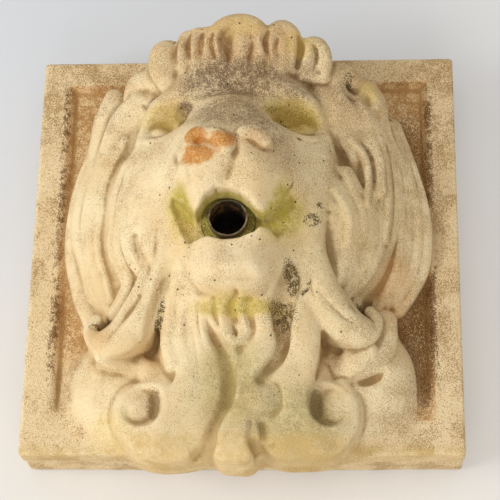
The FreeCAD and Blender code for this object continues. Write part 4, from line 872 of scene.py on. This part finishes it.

# A thin grey-green film over the lower middle, where the water drips, and more thinly over the right
# of the mane and jaw; and dirt with painted shade on the inner side of each volute's dish.
FILM_GREEN, FILM_GRAIN = (0.40, 0.315, 0.14, 1), (0.24, 0.165, 0.06, 1)
DISH_DIRT_AND_SHADE = (0.16, 0.095, 0.03, 1)
film = patches((0, 86, -125, 52, 44, 1.3, 0.8, 60), (40, 82, -146, 46, 34, 1.3, 1.0, 60),
               (70, 80, -20, 60, 90, 1.6, 0.45, 60), (-30, 84, -148, 30, 24, 1.4, 0.5, 60))
film = times(film, span(tree, mottle, 0.35, 0.6, 0.55, 1.0))
colour = stained(times(film, 0.55), FILM_GREEN)
colour = stained(times(cover(times(film, 0.55)), 0.45), FILM_GRAIN)
# Dirt and painted shade on the inner side of each volute's dish.
dish_dirt_and_shade = patches((-60, 73, -131, 7, 17, 1.0, 1.0, 16), (54, 74, -133, 7, 18, 1.0, 1.0, 16),
                 (61, 74, -146, 10, 6, 1.0, 0.8, 16))
colour = stained(times(cover(dish_dirt_and_shade), dish_dirt_and_shade, 0.7), DISH_DIRT_AND_SHADE)

# Orange rust: strong on the nose, and faint on the mane's ends and the crown.
RUST = (0.56, 0.225, 0.040, 1)
rust = patches((-30, 150, 45, 10, 8, 1.6, 1.0, 20), (-9, 156, 40, 13, 8, 1.6, 1.0, 20),
               (-29, 148, 31, 15, 8, 1.7, 1.0, 20), (13, 151, 43, 12, 7, 2.0, 0.2, 20),
               (-100, 80, -84, 14, 12, 1.5, 0.3, 30), (110, 66, -40, 20, 40, 1.8, 0.35, 20),
               (-6, 122, 138, 62, 18, 2.0, 0.22, 40))
colour = stained(times(rust, span(tree, fine, 0.34, 0.6, 0.6, 1.0)), RUST)

# Near-black down the crevices beside the chin, and lichen in specks on the right cheek.
LICHEN = (0.10, 0.064, 0.018, 1)
lichen = patches((38, 98, -45, 7, 17, 1.3, 1.0, 30, -14), (31, 88, -70, 16, 17, 1.6, 0.9, 26),
                 (48, 99, -52, 2.5, 9, 1.0, 0.9, 30, 35), (-57, 86, -71, 3.5, 20, 0.8, 1.0, 24, 12),
                 (-45, 94, -64, 4, 20, 1.0, 0.3, 24, 8), (58, 107, 9, 3.5, 3, 2.2, 0.9, 30),
                 (52, 109, -3, 7, 6, 2.8, 0.9, 30), (24, 79, -162, 4, 3, 1.5, 0.9, 30),
                 (79, 90, 119, 4, 9, 1.2, 0.9, 30), (-104, 84, -74, 6, 4, 1.2, 0.8, 30),
                 (-45, 96, 78, 4, 6, 1.0, 0.7, 30), (30, 98, 76, 6, 5, 1.2, 0.9, 30),
                 (19, 104, 84, 10, 4, 1.2, 0.6, 30, -30), (0, 154, 42, 3, 5, 1.2, 0.6, 30),
                 (12, 150, 54, 4, 1.6, 1.0, 0.9, 30),
                 (85, 72, -57, 6, 4, 1.2, 0.8, 30), (30, 86, -90, 16, 20, 1.6, 0.35, 30))
lichen = times(cover(times(lichen, span(tree, speckled, 0.38, 0.56, 0.45, 0.95))),
               span(tree, lichen, 0.02, 0.35))
colour = stained(times(lichen, 0.92), LICHEN)

# Ochre from standing water along the lower front edge, and pin holes left by air bubbles.
OCHRE, PIN_HOLE = (0.62, 0.42, 0.15, 1), (0.07, 0.045, 0.02, 1)
foot = times(span(tree, at_z, -0.150, -0.158), span(tree, at_y, -0.030, -0.050),
             span(tree, mottle, 0.4, 0.6, 0.2, 0.7))
colour = stained(foot, OCHRE)
bubbles = add_node(tree, "ShaderNodeTexVoronoi", {"Vector": place, "Scale": 125.0})
pin = times(span(tree, bubbles.outputs["Distance"], 0.11, 0.06), span(tree, at_y, -0.08, -0.1),
            span(tree, mottle, 0.47, 0.5))
colour = stained(pin, PIN_HOLE)
tree.links.new(colour, surface.inputs["Base Color"])
surface.inputs["Roughness"].default_value = 0.9
surface.inputs["Specular IOR Level"].default_value = 0.2

height = reckon(tree, "MULTIPLY_ADD", pin, -2.0, sand_here.outputs["Height"])
height = reckon(tree, "MULTIPLY_ADD", speckled, 1.2, height)
bump = add_node(tree, "ShaderNodeBump", {"Strength": 0.8, "Distance": 0.0009, "Height": height})
tree.links.new(bump.outputs[0], surface.inputs["Normal"])
casting_mesh.materials.append(stone_material)

casting = bpy.data.objects.new("stone_relief", casting_mesh)
bpy.context.collection.objects.link(casting)
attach(casting, "root")
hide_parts("stone_casting")

# Spout pipe: a thin-walled copper tube bedded in the lion's mouth, dull brown and green outside,
# dark with iron water inside, painted near-black deeper in as shade in the bore, and with lime on
# its open end. The olive that the coupling squeezes onto its back end is copper too.
PIPE_BROWN, PIPE_GREEN = (0.15, 0.09, 0.045, 1), (0.07, 0.075, 0.035, 1)
IRON_BLACK, IRON_BROWN = (0.010, 0.005, 0.002, 1), (0.17, 0.08, 0.022, 1)
BORE_SHADE_BLACK, LIME = (0.004, 0.002, 0.001, 1), (0.26, 0.20, 0.09, 1)


def finish(name, metal, rough, light, dark, lumps, relief):
    """A worn finish in two colours, shared out by noise, with a little relief."""
    made = bpy.data.materials.new(name)
    made.use_nodes = True
    tree = made.node_tree
    surface = tree.nodes["Principled BSDF"]
    place = add_node(tree, "ShaderNodeTexCoord").outputs["Object"]
    worn = noise_over(tree, place, lumps, 6.0, 0.65)
    colour = blend_colours(tree, span(tree, worn, 0.42, 0.62), light, dark)
    tree.links.new(colour, surface.inputs["Base Color"])
    tree.links.new(span(tree, worn, 0.3, 0.7, rough - 0.1, rough + 0.15),
                   surface.inputs["Roughness"])
    surface.inputs["Metallic"].default_value = metal
    bump = add_node(tree, "ShaderNodeBump", {"Strength": relief, "Distance": 0.0004,
                                             "Height": worn})
    tree.links.new(bump.outputs[0], surface.inputs["Normal"])
    return made, tree, surface, place, colour


def dress(material, *names):
    """Give modelled pieces this material in place of the plain one that they come with."""
    for name in names:
        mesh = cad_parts[name].data
        for number in range(len(mesh.materials)):
            mesh.materials[number] = material


copper, tree, surface, place, colour = finish(
    "stained_copper", 0.0, 0.6, PIPE_BROWN, PIPE_GREEN, 160, 0.5)
axis = add_node(tree, "ShaderNodeVectorMath",
                {0: place, 1: (SPOUT[0] / 1000, 0, SPOUT[1] / 1000)}, operation="SUBTRACT")
axis = add_node(tree, "ShaderNodeVectorMath", {0: axis.outputs[0], 1: (1, 0, 1)},
                operation="MULTIPLY")
radius = add_node(tree, "ShaderNodeVectorMath", {0: axis.outputs[0]}, operation="LENGTH").outputs[1]
depth = add_node(tree, "ShaderNodeSeparateXYZ", {0: place}).outputs[1]
flakes = noise_over(tree, place, 210.0, 5.0, 0.7)
inner = span(tree, radius, 0.0134, 0.0131)
rust_and_bore_shade = blend_colours(tree, span(tree, flakes, 0.47, 0.6), IRON_BLACK, IRON_BROWN)
# Painted shade: near-black further inside the bore.
rust_and_bore_shade = blend_colours(tree, span(tree, depth, -0.112, -0.104), rust_and_bore_shade, BORE_SHADE_BLACK)
colour = blend_colours(tree, inner, colour, rust_and_bore_shade)
limed = reckon(tree, "MULTIPLY", span(tree, depth, -0.1244, -0.1249),
               span(tree, flakes, 0.44, 0.62, 0.0, 0.8))
colour = blend_colours(tree, limed, colour, LIME)
tree.links.new(colour, surface.inputs["Base Color"])
dress(copper, "spout_pipe", "coupling_olive")

# Mortar: the bedding between pipe and stone, at the mouth and at the back end of the bore. It
# is sand and cement pressed in by hand, stained green to black with algae where water runs.
ALGAE_MORTAR, DARK_MORTAR = (0.46, 0.385, 0.07, 1), (0.24, 0.19, 0.035, 1)
BLACK_GRIT = (0.06, 0.045, 0.012, 1)
mortar, tree, surface, place, colour = finish(
    "wet_mortar", 0.0, 0.85, ALGAE_MORTAR, DARK_MORTAR, 120, 0.9)
grit = add_node(tree, "ShaderNodeGroup", node_tree=sand)
tree.links.new(place, grit.inputs["Place"])
grit.inputs["Grains per metre"].default_value = 900.0
colour = blend_colours(tree, span(tree, grit.outputs["Grain"], 0.52, 0.6), colour, BLACK_GRIT)
tree.links.new(colour, surface.inputs["Base Color"])
rough_face = add_node(tree, "ShaderNodeBump", {"Strength": 1.0, "Distance": 0.0012,
                                               "Height": grit.outputs["Height"]})
tree.links.new(rough_face.outputs[0], surface.inputs["Normal"])
dress(mortar, "mouth_mortar", "rear_mortar")

# Coupling and hose tail behind the spout: turned brass gone dull, a nut and a body on the
# pipe's back end with the barbed tail screwed into the body, over a moulded rubber washer.
brass = finish("dull_brass", 1.0, 0.38, (0.70, 0.48, 0.18, 1), (0.36, 0.25, 0.10, 1), 90, 0.15)[0]
rubber = finish("black_rubber", 0.0, 0.7, (0.03, 0.03, 0.03, 1), (0.05, 0.05, 0.048, 1), 200, 0.2)[0]
dress(brass, "hose_tail", "coupling_body", "coupling_nut")
dress(rubber, "tail_washer")

# Hangers: two keyhole plates of pressed steel, zinc plated, let into the back. Each is held by
# two countersunk screws in nylon plugs.
zinc = finish("zinc_plate", 1.0, 0.42, (0.66, 0.66, 0.64, 1), (0.44, 0.44, 0.42, 1), 140, 0.12)[0]
nylon = finish("grey_nylon", 0.0, 0.5, (0.42, 0.43, 0.43, 1), (0.36, 0.37, 0.37, 1), 200, 0.1)[0]
dress(zinc, "left_hanger_plate", "right_hanger_plate", "hanger_screws")
dress(nylon, "screw_plugs")

# The table that the slab lies on: a wide pale cloth just behind its back, cool at the top of the
# picture and warmer below. It is painted lighter and warmer to the right, where the slab's shadow
# falls, and it glows faintly to lighten the shadows: both are painted light. It is clear from
# behind, so that the back of the slab can be seen.
TABLE_HALF, TABLE_BEHIND = 9, 0.0012
CLOTH_COOL, CLOTH_WARM = (0.505, 0.517, 0.535, 1), (0.60, 0.565, 0.51, 1)
CLOTH_PAINTED_LIGHT = (0.70, 0.67, 0.62, 1)
plane_mesh = bpy.data.meshes.new("table")
plane_mesh.from_pydata([(x, TABLE_BEHIND, z) for x, z in (
    (-TABLE_HALF, -TABLE_HALF), (TABLE_HALF, -TABLE_HALF), (TABLE_HALF, TABLE_HALF),
    (-TABLE_HALF, TABLE_HALF))], [], [(0, 1, 2, 3)])
table_top = bpy.data.materials.new("pale_table")
table_top.use_nodes = True
tree = table_top.node_tree
surface = tree.nodes["Principled BSDF"]
place = add_node(tree, "ShaderNodeTexCoord").outputs["Object"]
table_x, _, table_z = add_node(tree, "ShaderNodeSeparateXYZ", {0: place}).outputs
cloth_and_painted_light = blend_colours(tree, span(tree, table_z, 0.16, -0.22), CLOTH_COOL, CLOTH_WARM)
# Painted light: lighter and warmer towards the right, where the slab's shadow falls on the table.
cloth_and_painted_light = blend_colours(tree, span(tree, table_x, 0.02, 0.26, 0.0, 0.6), cloth_and_painted_light, CLOTH_PAINTED_LIGHT)
tree.links.new(cloth_and_painted_light, surface.inputs["Base Color"])
surface.inputs["Roughness"].default_value = 0.9
surface.inputs["Specular IOR Level"].default_value = 0.1
# Painted light: the table glows faintly, to lighten the shadows on it.
surface.inputs["Emission Color"].default_value = (0.9, 0.92, 0.95, 1)
surface.inputs["Emission Strength"].default_value = 0.2
clear = add_node(tree, "ShaderNodeBsdfTransparent")
facing = add_node(tree, "ShaderNodeNewGeometry").outputs["Backfacing"]
either = add_node(tree, "ShaderNodeMixShader", {0: facing, 1: surface.outputs[0],
                                                2: clear.outputs[0]})
tree.links.new(either.outputs[0], tree.nodes["Material Output"].inputs["Surface"])
plane_mesh.materials.append(table_top)
plane = bpy.data.objects.new("table", plane_mesh)
bpy.context.collection.objects.link(plane)

# Light: a window on the left, soft light from overhead and from the camera's side, a lamp behind
# for the back, and a pale room. Each lamp is a square that faces the slab's middle, listed as
# place and side in metres and power in watts.
ROOM_COLOUR, ROOM_STRENGTH = (1.0, 0.97, 0.93, 1), 0.52
LAMPS = {
    "window": ((-1.3, -1.1, -0.4), 0.8, 15),
    "overhead": ((0.1, -2.2, -0.3), 1.6, 7),
    "front": ((0.1, -0.9, -1.7), 1.3, 9),
    "behind": ((0.6, 1.5, 0.9), 1.2, 12),
}
world = bpy.data.worlds.new("room")
world.use_nodes = True
world.node_tree.nodes["Background"].inputs["Color"].default_value = ROOM_COLOUR
world.node_tree.nodes["Background"].inputs["Strength"].default_value = ROOM_STRENGTH
bpy.context.scene.world = world
for name, (place, size, power) in LAMPS.items():
    lamp = bpy.data.lights.new(name, "AREA")
    lamp.energy = power
    lamp.size = size
    holder = bpy.data.objects.new(name, lamp)
    holder.location = place
    holder.rotation_euler = (-Vector(place)).to_track_quat("-Z", "Y").to_euler()
    bpy.context.collection.objects.link(holder)

# Camera, where the photograph was taken from: in front of the slab, below its middle, with a
# long lens. Its place is in metres, its angles in degrees.
CAMERA_PLACE, LENS, SENSOR = (0.07888, -1.21913, -0.49906), 122.4, 36
AZIMUTH, ELEVATION, ROLL = 3.645, -23.03, 0.996
camera_data = bpy.data.cameras.new("camera")
camera_data.lens = LENS
camera_data.sensor_width = SENSOR
camera = bpy.data.objects.new("camera", camera_data)
bpy.context.collection.objects.link(camera)
azimuth, elevation, roll = (math.radians(angle) for angle in (AZIMUTH, ELEVATION, ROLL))
back = Vector((math.sin(azimuth) * math.cos(elevation), -math.cos(azimuth) * math.cos(elevation),
               math.sin(elevation)))
camera.rotation_mode = "QUATERNION"
camera.location = Vector(CAMERA_PLACE)
camera.rotation_quaternion = (-back).to_track_quat("-Z", "Y") @ Quaternion((0, 0, 1), roll)
bpy.context.scene.camera = camera
bpy.context.scene.view_settings.view_transform = "Standard"
